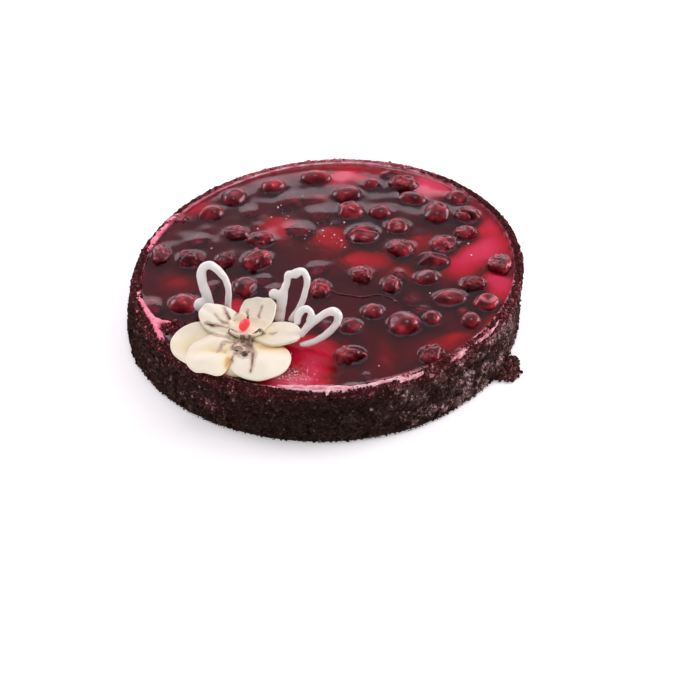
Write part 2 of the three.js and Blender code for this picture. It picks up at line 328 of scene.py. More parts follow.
crumb_look, tree = new_look("dark_crumb", {"Roughness": 0.85, "Specular IOR Level": 0.05})
brown = ramp(tree, stored(tree, "tone"), [
    (0.0, (0.007, 0.0035, 0.0028)),
    (0.45, (0.026, 0.0125, 0.0095)),
    (0.75, (0.075, 0.044, 0.036)),
    (1.0, (0.36, 0.25, 0.24)),
])
red = ramp(tree, stored(tree, "tone"), [
    (0.0, (0.02, 0.004, 0.004)),
    (0.5, (0.14, 0.016, 0.02)),
    (1.0, (0.65, 0.20, 0.24)),
])
colour_by(tree, mix(tree, stored(tree, "red"), brown, red))
bump(tree, noise_mask(tree, 1500, 3), 0.3 * MM)

smear_look, tree = new_look("pink_smear", {"Roughness": 0.35, "Coat Weight": 0.4})
pink = ramp(tree, noise_mask(tree, 220, 4), [(0.3, (0.9, 0.11, 0.2)), (0.65, (1.0, 0.32, 0.44))])
pale = ramp(tree, noise_mask(tree, 220, 4), [
    (0.3, (0.60, 0.14, 0.19)),
    (0.5, (0.80, 0.36, 0.41)),
    (0.7, (0.88, 0.64, 0.62)),
])
cream = mix(tree, stored(tree, "milky"), pink, pale)
# Patches of the smears at the right are mixed towards a darker red.
colour_by(tree, mix(tree, stored(tree, "darker_red"), cream, (0.30, 0.06, 0.08)))
bump(tree, noise_mask(tree, 600, 4), 0.4 * MM)
print("looks:", coat_look.name, crumb_look.name, smear_look.name)

# %% [markdown]
# ## Looks of the fruit
# A cooked cherry is dark red, with a clear glaze that is a coat over its duller skin. Its fine wrinkles are
# noise folded back on itself. The jelly could be a red gloss, but then nothing would show through it. So it
# is clear, and its inside swallows green light first: it is bright where it is thin, and almost black where
# it is deep. A bubble in it is an opaque pale pink dot, partly the pale of foam and partly a painted glint.

# %% Cherries
fruit_look, tree = new_look("glazed_cherry", {
    "Roughness": 0.4,
    "Specular IOR Level": 0.1,
    "Coat Weight": 1.0,
    "Coat Roughness": 0.18,
    "Coat IOR": 1.45,
})
flesh = ramp(tree, noise_mask(tree, 170, 3), [
    (0.3, (0.03, 0.0012, 0.0024)),
    (0.5, (0.105, 0.004, 0.008)),
    (0.72, (0.33, 0.015, 0.028)),
])
# Brighter where a cherry is riper, and darker towards its foot, which is painted shade.
skin = ramp(tree, stored(tree, "ripe_and_foot_shade"), [(0.0, (0.32, 0.35, 0.4)), (1.0, (1.8, 1.8, 1.8))])
colour_by(tree, mix(tree, 1.0, flesh, skin, "MULTIPLY"))
furrow = math_node(tree, "PINGPONG", noise_mask(tree, 420, 2), 0.5)
bump(tree, math_node(tree, "MULTIPLY", furrow, stored(tree, "crinkle")), 2.5 * MM)
print("look:", fruit_look.name)

# %% Jelly and bubbles
jelly_look, tree = new_look("cherry_jelly", {
    "Base Color": (1.0, 0.6, 0.65, 1),
    "Transmission Weight": 1.0,
    "Roughness": 0.065,
    "IOR": 1.38,
})
absorb = tree.nodes.new("ShaderNodeVolumeAbsorption")
absorb.inputs["Color"].default_value = (0.95, 0.02, 0.52, 1)
absorb.inputs["Density"].default_value = 560
tree.links.new(absorb.outputs["Volume"], tree.nodes["Material Output"].inputs["Volume"])

# Painted highlight: bubbles are opaque pale pink, partly the pale of foam and partly the glint of a clear
# bubble.
bubble_look, tree = new_look("bubble_and_glint", {"Roughness": 0.3, "Coat Weight": 0.5})
colour_by(tree, ramp(tree, noise_mask(tree, 300, 1), [
    (0.35, (0.80, 0.34, 0.40)),
    (0.65, (0.95, 0.66, 0.66)),
]))
print("looks:", jelly_look.name, bubble_look.name)

# %% [markdown]
# ## Looks of the flower
# The cream of the flower is pale at the top of a petal and yellow in its hollows, where light bounces from
# cream to cream; this yellow is painted shade, kept on each petal as how deep it is folded, with spots of
# deep yellow where petals shade each other. Light goes a little way into cream and into the white strands,
# which takes the hardness out of their shadows. The streaks are brown where they are thick and fade into the
# cream where they are thin.

# %% Cream of the flower
petal_look, tree = new_look("flower_cream", {
    "Roughness": 0.42,
    "Subsurface Weight": 0.15,
    "Subsurface Radius": (1.0, 0.75, 0.5),
    "Subsurface Scale": 1 * MM,
})
# Painted shade: the cream goes yellow, and orange where it is deepest, as its stored fold value rises.
yellow_shade = ramp(tree, stored(tree, "fold"), [
    (0.0, (0.845, 0.80, 0.65)),
    (0.5, (0.84, 0.72, 0.435)),
    (1.0, (0.62, 0.34, 0.09)),
])
tint = ramp(tree, noise_mask(tree, 90, 4), [(0.35, (0.95, 0.94, 0.92)), (0.65, (1.02, 1.02, 1.02))])
cream = mix(tree, 1.0, yellow_shade, tint, "MULTIPLY")
cocoa_wash = ramp(tree, noise_mask(tree, 300, 4), [
    (0.35, (0.40, 0.27, 0.20)),
    (0.65, (0.68, 0.56, 0.44)),
])
colour_by(tree, mix(tree, stored(tree, "wash"), cream, cocoa_wash))
bump(tree, noise_mask(tree, 160, 5), 0.25 * MM)
print("look:", petal_look.name)

# %% White strands, brown streaks and the bead
strand_look, tree = new_look("white_strand", {
    "Roughness": 0.4,
    "Subsurface Weight": 0.4,
    "Subsurface Radius": (1.0, 0.9, 0.8),
    "Subsurface Scale": 2 * MM,
})
colour_by(tree, ramp(tree, noise_mask(tree, 140, 4), [
    (0.3, (0.80, 0.785, 0.745)),
    (0.7, (0.86, 0.85, 0.82)),
]))
bump(tree, noise_mask(tree, 300, 4), 0.3 * MM)

streak_look, tree = new_look("brown_streak", {"Roughness": 0.45})
brown = ramp(tree, noise_mask(tree, 220, 3), [
    (0.35, (0.13, 0.056, 0.036)),
    (0.5, (0.26, 0.15, 0.108)),
    (0.65, (0.45, 0.33, 0.25)),
])
# The darkest colour is darker brown icing, and at the hole it is painted shade where the petals part.
brown_and_shade = mix(tree, stored(tree, "dark"), brown, (0.022, 0.009, 0.006))
colour_by(tree, mix(tree, stored(tree, "thick"), (0.64, 0.50, 0.38), brown_and_shade))
bump(tree, noise_mask(tree, 700, 3), 0.3 * MM)

# Painted light: the bead glows faintly red, though it is no lamp, which makes it brighter.
bead_look, tree = new_look("red_sugar_glow", {
    "Roughness": 0.3,
    "Emission Color": (1.0, 0.04, 0.07, 1),
    "Emission Strength": 0.1,
})
colour_by(tree, ramp(tree, noise_mask(tree, 240, 3), [
    (0.3, (1.0, 0.03, 0.055)),
    (0.7, (1.0, 0.075, 0.10)),
]))
bump(tree, noise_mask(tree, 500, 3), 0.2 * MM)
print("looks:", strand_look.name, streak_look.name, bead_look.name)

# %% [markdown]
# ## How the cake stands
# The cake isn't quite straight: its rim leans to the right, is slightly oval and rises to one side. The
# same rule as in the frame is kept here as a function, so that the body, the jelly and every crumb can be
# made round and upright first, which is easy, and then be set askew together.

# %% The rule of the leaning cake
CAKE_RADIUS = 115 * MM
CAKE_HEIGHT = 37 * MM
RIM_SHIFT = 4 * MM
RIM_OVAL = 0.03
OVAL_TURN = math.radians(60)
TOP_SLOPE = 0.025
BASIN_RADIUS = 109 * MM
JELLY_LEVEL = 35.8 * MM


def lean(points):
    """Moves points of an upright round cake to where they are on the real one."""
    x, y, z = points.T
    share = z / CAKE_HEIGHT
    stretch = 1 + share * RIM_OVAL * np.cos(2 * (np.arctan2(y, x) - OVAL_TURN))
    return np.stack([x * stretch + share * RIM_SHIFT, y * stretch, z + share * TOP_SLOPE * x], 1)


def jelly_height(x):
    """The level of the jelly at a place on the leaning cake."""
    return JELLY_LEVEL * (1 + TOP_SLOPE * (x - RIM_SHIFT) / CAKE_HEIGHT)


print("jelly from", *(round(jelly_height(x * BASIN_RADIUS) / MM, 1) for x in (-1, 1)), "mm, left to right")

# %% [markdown]
# ## Uneven by rule
# Nothing on a cake is even. Its swellings, stains and bare places are made with a few small tools that work
# on whole arrays of points: noise in lumps of a chosen size, a hill that is high at one place, a soft step
# between two values, and colours that blend from stop to stop.


# %% Noise, hills and soft steps
def bumps(points, size, seed):
    """Smooth random heights from about -1 to 1, with lumps of the given size."""
    shift = Vector((seed * 17.3, seed * 5.1, seed * 9.7))
    return np.array([noise.noise(Vector(point) / size + shift) for point in points])


def layered(points, *layers):
    """Bumps of several sizes added up, each given as (height, size, seed)."""
    return sum(height * bumps(points, size, seed) for height, size, seed in layers)


def wander(points, size, seeds):
    """A smooth random move of each point, with one seed for each direction."""
    return np.stack([bumps(points, size, seed) for seed in seeds], 1)


def hill(values, middle, half, power=2):
    """1 at the middle, falling off on both sides."""
    return np.exp(-(((values - middle) / half) ** power))


def spot(across, along, middle, half):
    """1 at the middle of a flat place, falling off all round."""
    return np.exp(-(((across - middle[0]) / half[0]) ** 2) - ((along - middle[1]) / half[1]) ** 2)


def ease(values, low, high):
    """A soft step from 0 to 1."""
    share = np.clip((values - low) / (high - low), 0, 1)
    return share * share * (3 - 2 * share)


def blend(values, stops):
    """Colours for an array of values, between stops of (value, colour)."""
    places, colours = zip(*stops)
    return np.stack([np.interp(values, places, channel) for channel in zip(*colours)], 1)


def bearing(points):
    """The direction of each point from the cake's middle, in degrees: 0 at the right, -90 in front."""
    return np.degrees(np.arctan2(points[:, 1], points[:, 0]))


# %% The coat, where it is bare and where it is dusty or has a painted sheen
BARE_WIDTH = 2.1
# Middle and half width in degrees, and how many millimetres more or less of the rim are bare there.
BARE_PLACES = [(-85, 18, 3.2), (95, 30, 0.1), (150, 16, 1.0), (25, 35, -0.8)]
LEFT_COVERED = (178, 14)  # the same for the left, where the crumbs come further in by a millimetre


def coat_swell(points):
    """How far the coated wall swells out, at points of the upright cake."""
    return layered(points, (0.9, 22 * MM, 1), (0.5, 7 * MM, 2), (0.45, 2.6 * MM, 11)) * MM


def bare_edge(degrees):
    """How far out the rim is left bare of crumbs, going round the cake."""
    wide = BARE_WIDTH
    for middle, half, more in BARE_PLACES:
        wide = wide + more * hill(degrees, middle, half)
    return BASIN_RADIUS + (wide - hill(np.abs(degrees), *LEFT_COVERED)) * MM


def far_back(degrees):
    """The part of the rim at the back, where the crumbs are pale and red."""
    return hill(degrees, 92, 38, power=4)


def dust_and_sheen_share(points):
    """Where the coat is pale: dust in patches at the front right, and a painted sheen in one larger patch at
    the right.
    """
    angle = bearing(points)
    near = hill(angle, -40, 33) + 0.25 * hill(angle, -150, 30)
    patches = ease(layered(points, (1, 11 * MM, 31), (0.5, 4 * MM, 32)), -0.3, 0.4)
    right = spot(angle, points[:, 2], (-21, 20 * MM), (9, 12 * MM))
    return np.maximum(near * patches, 0.75 * right)


widths = (bare_edge(np.arange(-180.0, 180.0)) - BASIN_RADIUS) / MM
print("the rim is bare for", round(widths.min(), 1), "to", round(widths.max(), 1), "mm")

# %% [markdown]
# ## The cream body
# The real body is chilled yogurt cream. One profile, spun round, gives the wall, the rim and the basin that
# holds the jelly. Where the cream comes up close under the jelly, the jelly shows bright red, so those pools
# are raised from the basin's floor. The colours are kept on the vertices: crumb brown on the wall, pink on
# the rim, and in the basin from pale cream to a dark that is partly crushed fruit and partly painted shade
# among the cherries.


# %% Spinning a profile
def spin_profile(name, outline, steps):
    """A line of (radius, height) points, extruded from one vertex and spun about the upright axis."""
    clear_selection()
    bpy.ops.mesh.primitive_plane_add(size=MM)
    piece = name_new(name)
    bpy.ops.object.mode_set(mode="EDIT")
    bpy.ops.mesh.select_mode(type="VERT")
    bpy.ops.mesh.select_all(action="SELECT")
    bpy.ops.mesh.merge(type="CENTER")
    start_radius, start_height = outline[0]
    bpy.ops.transform.translate(value=(start_radius, 0, start_height))
    for (radius, height), (next_radius, next_height) in zip(outline, outline[1:]):
        step = (next_radius - radius, 0, next_height - height)
        bpy.ops.mesh.extrude_vertices_move(TRANSFORM_OT_translate={"value": step})
    bpy.ops.mesh.select_all(action="SELECT")
    bpy.ops.mesh.spin(steps=steps, angle=2 * math.pi, center=(0, 0, 0), axis=(0, 0, 1))
    bpy.ops.mesh.select_all(action="SELECT")
    bpy.ops.mesh.remove_doubles(threshold=0.01 * MM)
    bpy.ops.mesh.normals_make_consistent(inside=False)
    bpy.ops.object.mode_set(mode="OBJECT")
    return piece


# %% The body's mesh
FOOT_ROUND = 1.5 * MM
RIM_ROUND = 3 * MM
JELLY_DEPTH = 9 * MM
BASIN_LEVEL = JELLY_LEVEL - JELLY_DEPTH
WALL_TALL = CAKE_HEIGHT - RIM_ROUND - FOOT_ROUND
# From the rim into the basin: how far outside its edge and how far below the rim, in millimetres.
RIM_INSIDE = [(1.8, 0.2), (1.1, 0.8), (0.7, 2.5)]
BODY_STEPS = 540
WALL_STEPS = 36
RIM_STEPS = 8
FLOOR_STEPS = 60

outline = [(0, 0), (CAKE_RADIUS - FOOT_ROUND, 0)]
for step in range(WALL_STEPS + 1):
    outline.append((CAKE_RADIUS, FOOT_ROUND + WALL_TALL * step / WALL_STEPS))
for step in range(1, RIM_STEPS + 1):
    bend = 0.5 * math.pi * step / RIM_STEPS
    outline.append((
        CAKE_RADIUS - RIM_ROUND * (1 - math.cos(bend)),
        CAKE_HEIGHT - RIM_ROUND * (1 - math.sin(bend)),
    ))
for outside, below in RIM_INSIDE:
    outline.append((BASIN_RADIUS + outside * MM, CAKE_HEIGHT - below * MM))
for step in range(FLOOR_STEPS + 1):
    outline.append((BASIN_RADIUS * (1 - step / FLOOR_STEPS), BASIN_LEVEL))
cream_body = spin_profile("cream_body", outline, BODY_STEPS)
print("cream body", len(cream_body.data.polygons), "faces")

# %% Where the cream comes up under the jelly
# Each pool is its middle, its half sizes in millimetres, its turn in degrees and how bright it shows.
POOLS = {
    "left_back": (-26, 47, 14, 13, 0, 0.61),
    "middle": (7, 34, 12, 15, 0, 0.63),
    "centre_right": (27, 11, 15, 12, 0, 0.62),
    "back_small": (0, 79, 7, 5, 0, 0.5),
    "right_small": (59, 31, 8, 6, 0, 0.5),
    "right_dim": (60, 25, 15, 11, 0, 0.45),
    "right_front_dim": (45, -1, 11, 9, 0, 0.45),
    "right_long": (92, 13, 28, 13, 48, 1.12),
    "right_low": (102, -18, 10, 16, 0, 1.1),
    "right_top": (103, 40, 10, 13, 0, 0.95),
    # This pool also reaches under the front petal, where it is painted light that brightens the floor in the
    # petal's shadow.
    "front_pink": (-7, -77, 20, 19, 0, 0.86),
    "front_foam": (-17, -102, 20, 9, 0, 1.25),
    "front_round": (-4, -91, 11, 11, 0, 0.95),
    "front_long": (70, -67, 20, 7, 35, 0.58),
    "front_dim": (35, -80, 6, 14, 0, 0.36),
    "behind_flower": (-47, -32, 13, 8, 0, 0.65),
    "left": (-84, -4, 11, 7, 0, 0.36),
    "left_rim": (-99, -23, 5, 6, 0, 0.6),
    "back_left_rim": (-77, 71, 18, 7, 45, 0.75),
    "back": (14, 99, 16, 8, 0, 1.1),
    "back_right": (66, 86, 15, 12, 0, 1.25),
}
BRIGHT_POOL = 0.6  # brighter pools have a flat top


def turned(x, y, turn):
    """Flat places as they lie along and across a direction."""
    return x * math.cos(turn) + y * math.sin(turn), y * math.cos(turn) - x * math.sin(turn)


def pool_share(x, y):
    """How strongly the pools show at places given in metres, from 0 to about 1.2."""
    share = np.zeros(len(x))
    for middle_x, middle_y, half_x, half_y, turn, strength in POOLS.values():
        along, across = turned(x / MM - middle_x, y / MM - middle_y, math.radians(turn))
        far = (along / half_x) ** 2 + (across / half_y) ** 2
        flat_top = 2 if strength > BRIGHT_POOL else 1
        share = np.maximum(share, strength * np.exp(-0.9 * far**flat_top))
    return share


print(len(POOLS), "pools")

# %% Its uneven wall, rim and floor
POOL_RISE = 6.5 * MM
POOL_WANDER = 4 * MM
POOL_MOST = 1.25
EDGE_POOL = 6 * MM  # how far the cream at the basin's edge reaches in
FRONT_RISE = 0.5 * MM

points = get_points(cream_body)
radius = np.hypot(points[:, 0], points[:, 1])
angle = bearing(points)
off_foot = points[:, 2] > 1 * MM
on_wall = (radius > CAKE_RADIUS - 1.2 * MM) & off_foot
on_rim = (radius > BASIN_RADIUS + 0.5 * MM) & (points[:, 2] > CAKE_HEIGHT - 2.6 * MM)
on_floor = (radius < BASIN_RADIUS + 0.1 * MM) & off_foot
front = hill(angle, -87, 20)
outwards = points[:, :2] / np.maximum(radius, MM)[:, None]
points[:, :2] += outwards * (coat_swell(points) * on_wall)[:, None]
rim_waves = layered(points, (0.4 * MM, 9 * MM, 3), (0.25 * MM, 3 * MM, 4))
points[:, 2] += on_rim * (rim_waves + FRONT_RISE * front)
shift = POOL_WANDER * wander(points, 12 * MM, (5, 6))
leaning = lean(points)
pools = pool_share(leaning[:, 0] + shift[:, 0], leaning[:, 1] + shift[:, 1])
edge_pool = hill(radius, BASIN_RADIUS, EDGE_POOL) * (0.36 + 0.3 * np.cos(np.radians(angle - 30)))
pools = np.clip(np.maximum(pools, edge_pool) + 0.12 * bumps(points, 16 * MM, 7) + 0.08, 0, POOL_MOST)
leaning[:, 2] += on_floor * POOL_RISE * pools
set_points(cream_body, leaning)
print("pools cover", round(100 * float(np.mean(pools[on_floor] > 0.5))), "% of the basin's points")


# %% Its colours
def add_values(piece, name, values):
    """One number for each vertex, that a look can read by name."""
    layer = piece.data.attributes.new(name, "FLOAT", "POINT")
    layer.data.foreach_set("value", np.asarray(values, float))


def add_colours(piece, name, colours):
    rows = np.concatenate([colours, np.ones((len(colours), 1))], 1)
    piece.data.attributes.new(name, "FLOAT_COLOR", "POINT").data.foreach_set("color", rows.ravel())


# The dark end is partly crushed fruit and partly painted shade among the cherries.
paint = blend(pools, [
    (0.0, (0.12, 0.010, 0.032)),
    (0.35, (0.34, 0.07, 0.20)),
    (0.8, (1.0, 0.70, 0.62)),
])
rim_tone = 0.45 + 0.6 * bumps(points, 5 * MM, 8) + 0.6 * front + 0.35 * far_back(angle)
rim_paint = blend(rim_tone, [
    (0.0, (0.30, 0.03, 0.05)),
    (0.5, (0.62, 0.14, 0.20)),
    (1.0, (0.80, 0.46, 0.48)),
])
wall_paint = blend(bumps(points, 3 * MM, 9), [
    (-0.5, (0.010, 0.006, 0.005)),
    (0.6, (0.035, 0.018, 0.015)),
])
# Dust in patches at the front right, and in one larger patch at the right a painted sheen of the light from
# that side.
wall_paint += dust_and_sheen_share(points)[:, None] * ((0.13, 0.085, 0.083) - wall_paint)
inside_edge = bare_edge(angle) + 0.8 * MM * bumps(points, 4 * MM, 10) - radius
bare = ease(inside_edge, -0.3 * MM, 0.3 * MM) * on_rim
paint[~on_floor] = wall_paint[~on_floor]
paint += (bare * ~on_floor)[:, None] * (rim_paint - paint)
add_colours(cream_body, "paint", paint)
add_values(cream_body, "coat", np.where(on_floor, 0, np.where(on_rim, 0.4, 1)))
finish_piece(cream_body, coat_look, "crumb", "cake_body")
print("cream body painted on", len(paint), "points")

# %% [markdown]
# ## Crumbs
# Thousands of crumbs cling to the wall and spill over the rim. One small ball with few faces, copied in an
# array with its own turn, size and dents each time, is enough: all copies go into one mesh. Each crumb
# also keeps how light and how red it is, which the crumb look reads.

# %% Many small lumps in one mesh
SEED = 20
rng = np.random.default_rng(SEED)


def random_turns(count):
    """One matrix for each lump, that turns it any way."""
    quarters = rng.normal(size=(4, count))
    w, x, y, z = quarters / np.linalg.norm(quarters, axis=0)
    return np.array([
        [1 - 2 * (y * y + z * z), 2 * (x * y - z * w), 2 * (x * z + y * w)],
        [2 * (x * y + z * w), 1 - 2 * (x * x + z * z), 2 * (y * z - x * w)],
        [2 * (x * z - y * w), 2 * (y * z + x * w), 1 - 2 * (x * x + y * y)],
    ])


def joined_bits(name, places, sizes, dents):
    """A mesh of small uneven balls with the given places and radii, and how many corners each has."""
    clear_selection()
    bpy.ops.mesh.primitive_ico_sphere_add(subdivisions=1, radius=1)
    bit = bpy.context.object
    corners = get_points(bit)
    faces = np.array([list(face.vertices) for face in bit.data.polygons])
    bpy.ops.object.delete()
    count = len(places)
    lumps = corners[None] * rng.uniform(1 - dents, 1 + dents, (count, len(corners), 1))
    lumps = lumps * rng.uniform(0.7, 1.25, (count, 1, 3))
    lumps = np.einsum("ijn,nvj->nvi", random_turns(count), lumps)
    lumps = lumps * sizes[:, None, None] + places[:, None]
    numbers = faces[None] + len(corners) * np.arange(count)[:, None, None]
    mesh = bpy.data.meshes.new(name)
    mesh.from_pydata(lumps.reshape(-1, 3).tolist(), [], numbers.reshape(-1, 3).tolist())
    return add_object(name, mesh), len(corners)


print("random numbers start from", SEED)


# %% A place on the coat
def on_coat(turn, along, lift):
    """Points on the coat: up the wall, round the rim and on over it, `along` metres from the foot."""
    wall = CAKE_HEIGHT - RIM_ROUND
    bend = np.clip((along - wall) / RIM_ROUND, 0, math.pi / 2)
    inward = np.maximum(along - wall - RIM_ROUND * math.pi / 2, 0)
    radius = CAKE_RADIUS - RIM_ROUND * (1 - np.cos(bend)) - inward
    height = np.minimum(along, wall) + RIM_ROUND * np.sin(bend)
    points = np.stack([radius * np.cos(turn), radius * np.sin(turn), height], 1)
    out = coat_swell(points) * (bend < 0.6) + lift * np.cos(bend)
    points[:, 0] += out * np.cos(turn)
    points[:, 1] += out * np.sin(turn)
    points[:, 2] += lift * np.sin(bend)
    return points


# %% Crumbs on the wall
CRUMB_DENTS = 0.28
CRUMB_TONE = 0.42
# Count, smallest and largest radius in millimetres, how far they stand out as a share of it, and a seed.
WALL_CRUMBS = {
    "crumbs_dust": (13000, 0.25, 0.42, 0.3, 33),
    "crumbs_fine": (13000, 0.36, 0.62, 0.25, 34),
    "crumbs_mid": (9500, 0.55, 0.95, 0.1, 35),
    "crumbs_coarse": (3800, 0.85, 1.7, -0.15, 36),
}


def crumb_piece(name, places, sizes, tone, red):
    piece, corners = joined_bits(name, places, sizes, CRUMB_DENTS)
    add_values(piece, "tone", np.repeat(np.clip(tone, 0, 1), corners))
    add_values(piece, "red", np.repeat(np.clip(red, 0, 1), corners))
    finish_piece(piece, crumb_look, "crumb", smooth=False)
    print(name, len(places), "crumbs,", len(piece.data.polygons), "faces")


def wall_crumbs(name, count, small, large, stand, seed):
    turn = rng.uniform(-math.pi, math.pi, count)
    sizes = rng.uniform(small * MM, large * MM, count)
    along = rng.uniform(1.6 * sizes, CAKE_HEIGHT + 0.4 * MM, count)
    points = on_coat(turn, along, stand * sizes)
    keep = bumps(points, 6 * MM, seed) > rng.uniform(-1.1, 0.4, count)
    points, along, sizes = points[keep], along[keep], sizes[keep]
    count = len(points)
    degrees = bearing(points)
    back, front = far_back(degrees), hill(degrees, -88, 15)
    top = ease(along, 24 * MM, 37 * MM)
    # Crumbs are lighter where the coat is dusty and where it has the painted sheen.
    dust_and_sheen = 0.72 * dust_and_sheen_share(points) * rng.uniform(0.3, 1, count)
    tone = CRUMB_TONE + 0.15 * rng.normal(size=count) + 0.25 * bumps(points, 4 * MM, seed + 0.5) + dust_and_sheen
    tone -= 0.12 * ease(sizes, 0.8 * MM, 1.4 * MM)
    speck = rng.uniform(0, 1, count) < 0.3 + 0.5 * back
    red = top * (0.2 + 0.8 * speck) * rng.uniform(0.5, 1.2, count)
    red += 0.12 * rng.uniform(0, 1, count)
    stain = spot(degrees, along, (-123, 15 * MM), (4, 4 * MM)) * rng.uniform(0, 1, count)
    red = red * (1 - 0.5 * front) + 0.5 * stain
    tone += 0.42 * back * top + 0.15 * speck * top + 0.55 * stain - 0.06 * front
    crumb_piece(name, lean(points), sizes, tone, red)


for name, row in WALL_CRUMBS.items():
    wall_crumbs(name, *row)

# %% Crumbs on the rim
RIM_CRUMBS = 11000

turn = rng.uniform(-math.pi, math.pi, RIM_CRUMBS)
along = CAKE_HEIGHT - RIM_ROUND + rng.uniform(-1 * MM, 8.5 * MM, RIM_CRUMBS)
sizes = rng.uniform(0.3 * MM, 0.8 * MM, RIM_CRUMBS)
points = on_coat(turn, along, 0.2 * sizes)
degrees = np.degrees(turn)
radius = np.hypot(points[:, 0], points[:, 1])
past_edge = radius - bare_edge(degrees) - 0.8 * MM * bumps(points, 5 * MM, 41)
covered = ease(past_edge, -0.4 * MM, 0.8 * MM)
keep = (0.04 + 0.9 * covered > rng.uniform(0, 1, RIM_CRUMBS)) & (radius > BASIN_RADIUS + 1.2 * MM)
points, sizes, back = points[keep], sizes[keep], far_back(degrees[keep])
pale = back * ease(bumps(points, 5 * MM, 42), -0.3, 0.4)
tone = CRUMB_TONE + 0.13 * rng.normal(size=len(points)) + 0.34 * back
tone += 0.4 * pale * rng.uniform(0.3, 1, len(points))
red = rng.uniform(0.15, 0.8, len(points)) + 0.55 * back
crumb_piece("crumbs_rim", lean(points), sizes, tone, red)

# %% [markdown]
# ## Clusters and a heap
# In a few places on the rim the crumbs are soaked pale and stick together, and some have slid down and lie
# against the foot. A cluster is scattered round its middle, and each of its crumbs is dropped onto the body
# by a ray from above. The heap is scattered over low mounds that are melted together and then taken away.

# %% Clusters of pale crumbs on the rim
# Middle in millimetres, spread, count, and how light and how red the crumbs of each cluster are.
CLUSTERS = [
    (76.5, -83, 1.5, 110, 0.76, 0.7), (73, -88, 1.8, 110, 0.68, 0.75), (51, -106.5, 2.6, 130, 0.9, 0.9),
    (93, -67.5, 1.6, 60, 0.9, 0.8), (-85, 57, 2.0, 50, 0.85, 0.9), (-87, -53, 4.0, 110, 0.5, 0.75),
]
DROP_FROM = 0.1


def drop_tree(*pieces):
    """A tree of all faces of some pieces, for finding the surface under a place."""
    points, faces = [], []
    for piece in pieces:
        start = sum(len(block) for block in points)
        points.append(get_points(piece))
        faces += [[start + corner for corner in face.vertices] for face in piece.data.polygons]
    return BVHTree.FromPolygons(np.concatenate(points).tolist(), faces)


def surface_height(surface, x, y):
    """The height of the surface or of the jelly over it, or None beside the surface."""
    hit = surface.ray_cast(Vector((x, y, DROP_FROM)), Vector((0, 0, -1)))[0]
    return max(hit.z, jelly_height(x)) if hit else None


body_tree = drop_tree(cream_body)
points, tones, reds = [], [], []
for middle_x, middle_y, spread, count, light, red in CLUSTERS:
    for x, y in (rng.normal(size=(count, 2)) * spread + (middle_x, middle_y)) * MM:
        height = surface_height(body_tree, x, y)
        if height and height > 0.8 * CAKE_HEIGHT:
            points.append((x, y, height + 0.5 * MM * abs(rng.normal())))
            tones.append(light + 0.14 * rng.normal())
            reds.append(red + 0.2 * rng.normal())
sizes = rng.uniform(0.35 * MM, 0.95 * MM, len(points))
crumb_piece("crumbs_pale", np.array(points), sizes, np.array(tones), np.array(reds))


# %% Melting pieces into one skin
def ball(name, middle, half, turn=0.0):
    """A ball stretched to the given half sizes, turned about the upright axis."""
    clear_selection()
    bpy.ops.mesh.primitive_uv_sphere_add(segments=20, ring_count=12, radius=1, location=middle)
    bpy.ops.transform.resize(value=half)
    bpy.ops.transform.rotate(value=-turn, orient_axis="Z", center_override=middle)
    return name_new(name)


def apply_modifiers(piece):
    pick(piece)
    for modifier in list(piece.modifiers):
        bpy.ops.object.modifier_apply(modifier=modifier.name)


def melt(name, pieces, voxel, rounds):
    """Joins pieces, makes one closed skin of small even faces round them, and smooths it."""
    pick(*pieces)
    if len(pieces) > 1:
        bpy.ops.object.join()
    piece = name_new(name)
    bpy.ops.object.transform_apply(location=True, rotation=True, scale=True)
    skin = piece.modifiers.new("skin", "REMESH")
    skin.mode = "VOXEL"
    skin.voxel_size = voxel
    soften = piece.modifiers.new("soften", "SMOOTH")
    soften.iterations = rounds
    apply_modifiers(piece)
    return piece


def roughen(piece, height, size, seed, push=0.0):
    """Moves the skin in and out by noise, and out by an even push."""
    points = get_points(piece)
    points += get_points(piece, "normal") * (push + height * bumps(points, size, seed))[:, None]
    set_points(piece, points)


# %% The heap of crumbs at the foot
# Middle in millimetres, half length, half width and height of each low mound against the wall.
MOUNDS = [(104, -53, 5.5, 10, 1.9), (108, -46, 5, 5, 1.4), (108, -57, 5, 6, 1.0)]
HEAP_TURN = math.radians(-27.5)
HEAP_CRUMBS = 1100

mounds = []
for x, y, long, wide, high in MOUNDS:
    mounds.append(ball("mound", (x * MM, y * MM, 0), (long * MM, wide * MM, high * MM), HEAP_TURN))
heap = melt("heap_core", mounds, 0.8 * MM, 1)
roughen(heap, 1.3 * MM, 4 * MM, 43)
points = get_points(heap)
points = points[points[:, 2] > 0.3 * MM]
points = points[rng.integers(0, len(points), HEAP_CRUMBS)]
points += rng.normal(size=(HEAP_CRUMBS, 3)) * (0.9 * MM, 0.9 * MM, 0.3 * MM)
pick(heap)
bpy.ops.object.delete()
sizes = rng.uniform(0.4 * MM, 1.2 * MM, HEAP_CRUMBS)
points[:, 2] = np.maximum(points[:, 2], 1.5 * sizes)
tone = 0.5 + 0.2 * rng.normal(size=HEAP_CRUMBS)
crumb_piece("crumbs_heap", points, sizes, tone, rng.uniform(0, 0.45, HEAP_CRUMBS))

# %% [markdown]
# ## Smears of cream on the rim
# Where the cake was handled, cream and jelly were smeared over the rim. A smear is a strand drawn along
# the rim, thick in one place and thin in another. All of them are melted together by a voxel remesh and
# smoothed, which gives soft lumps without seams.


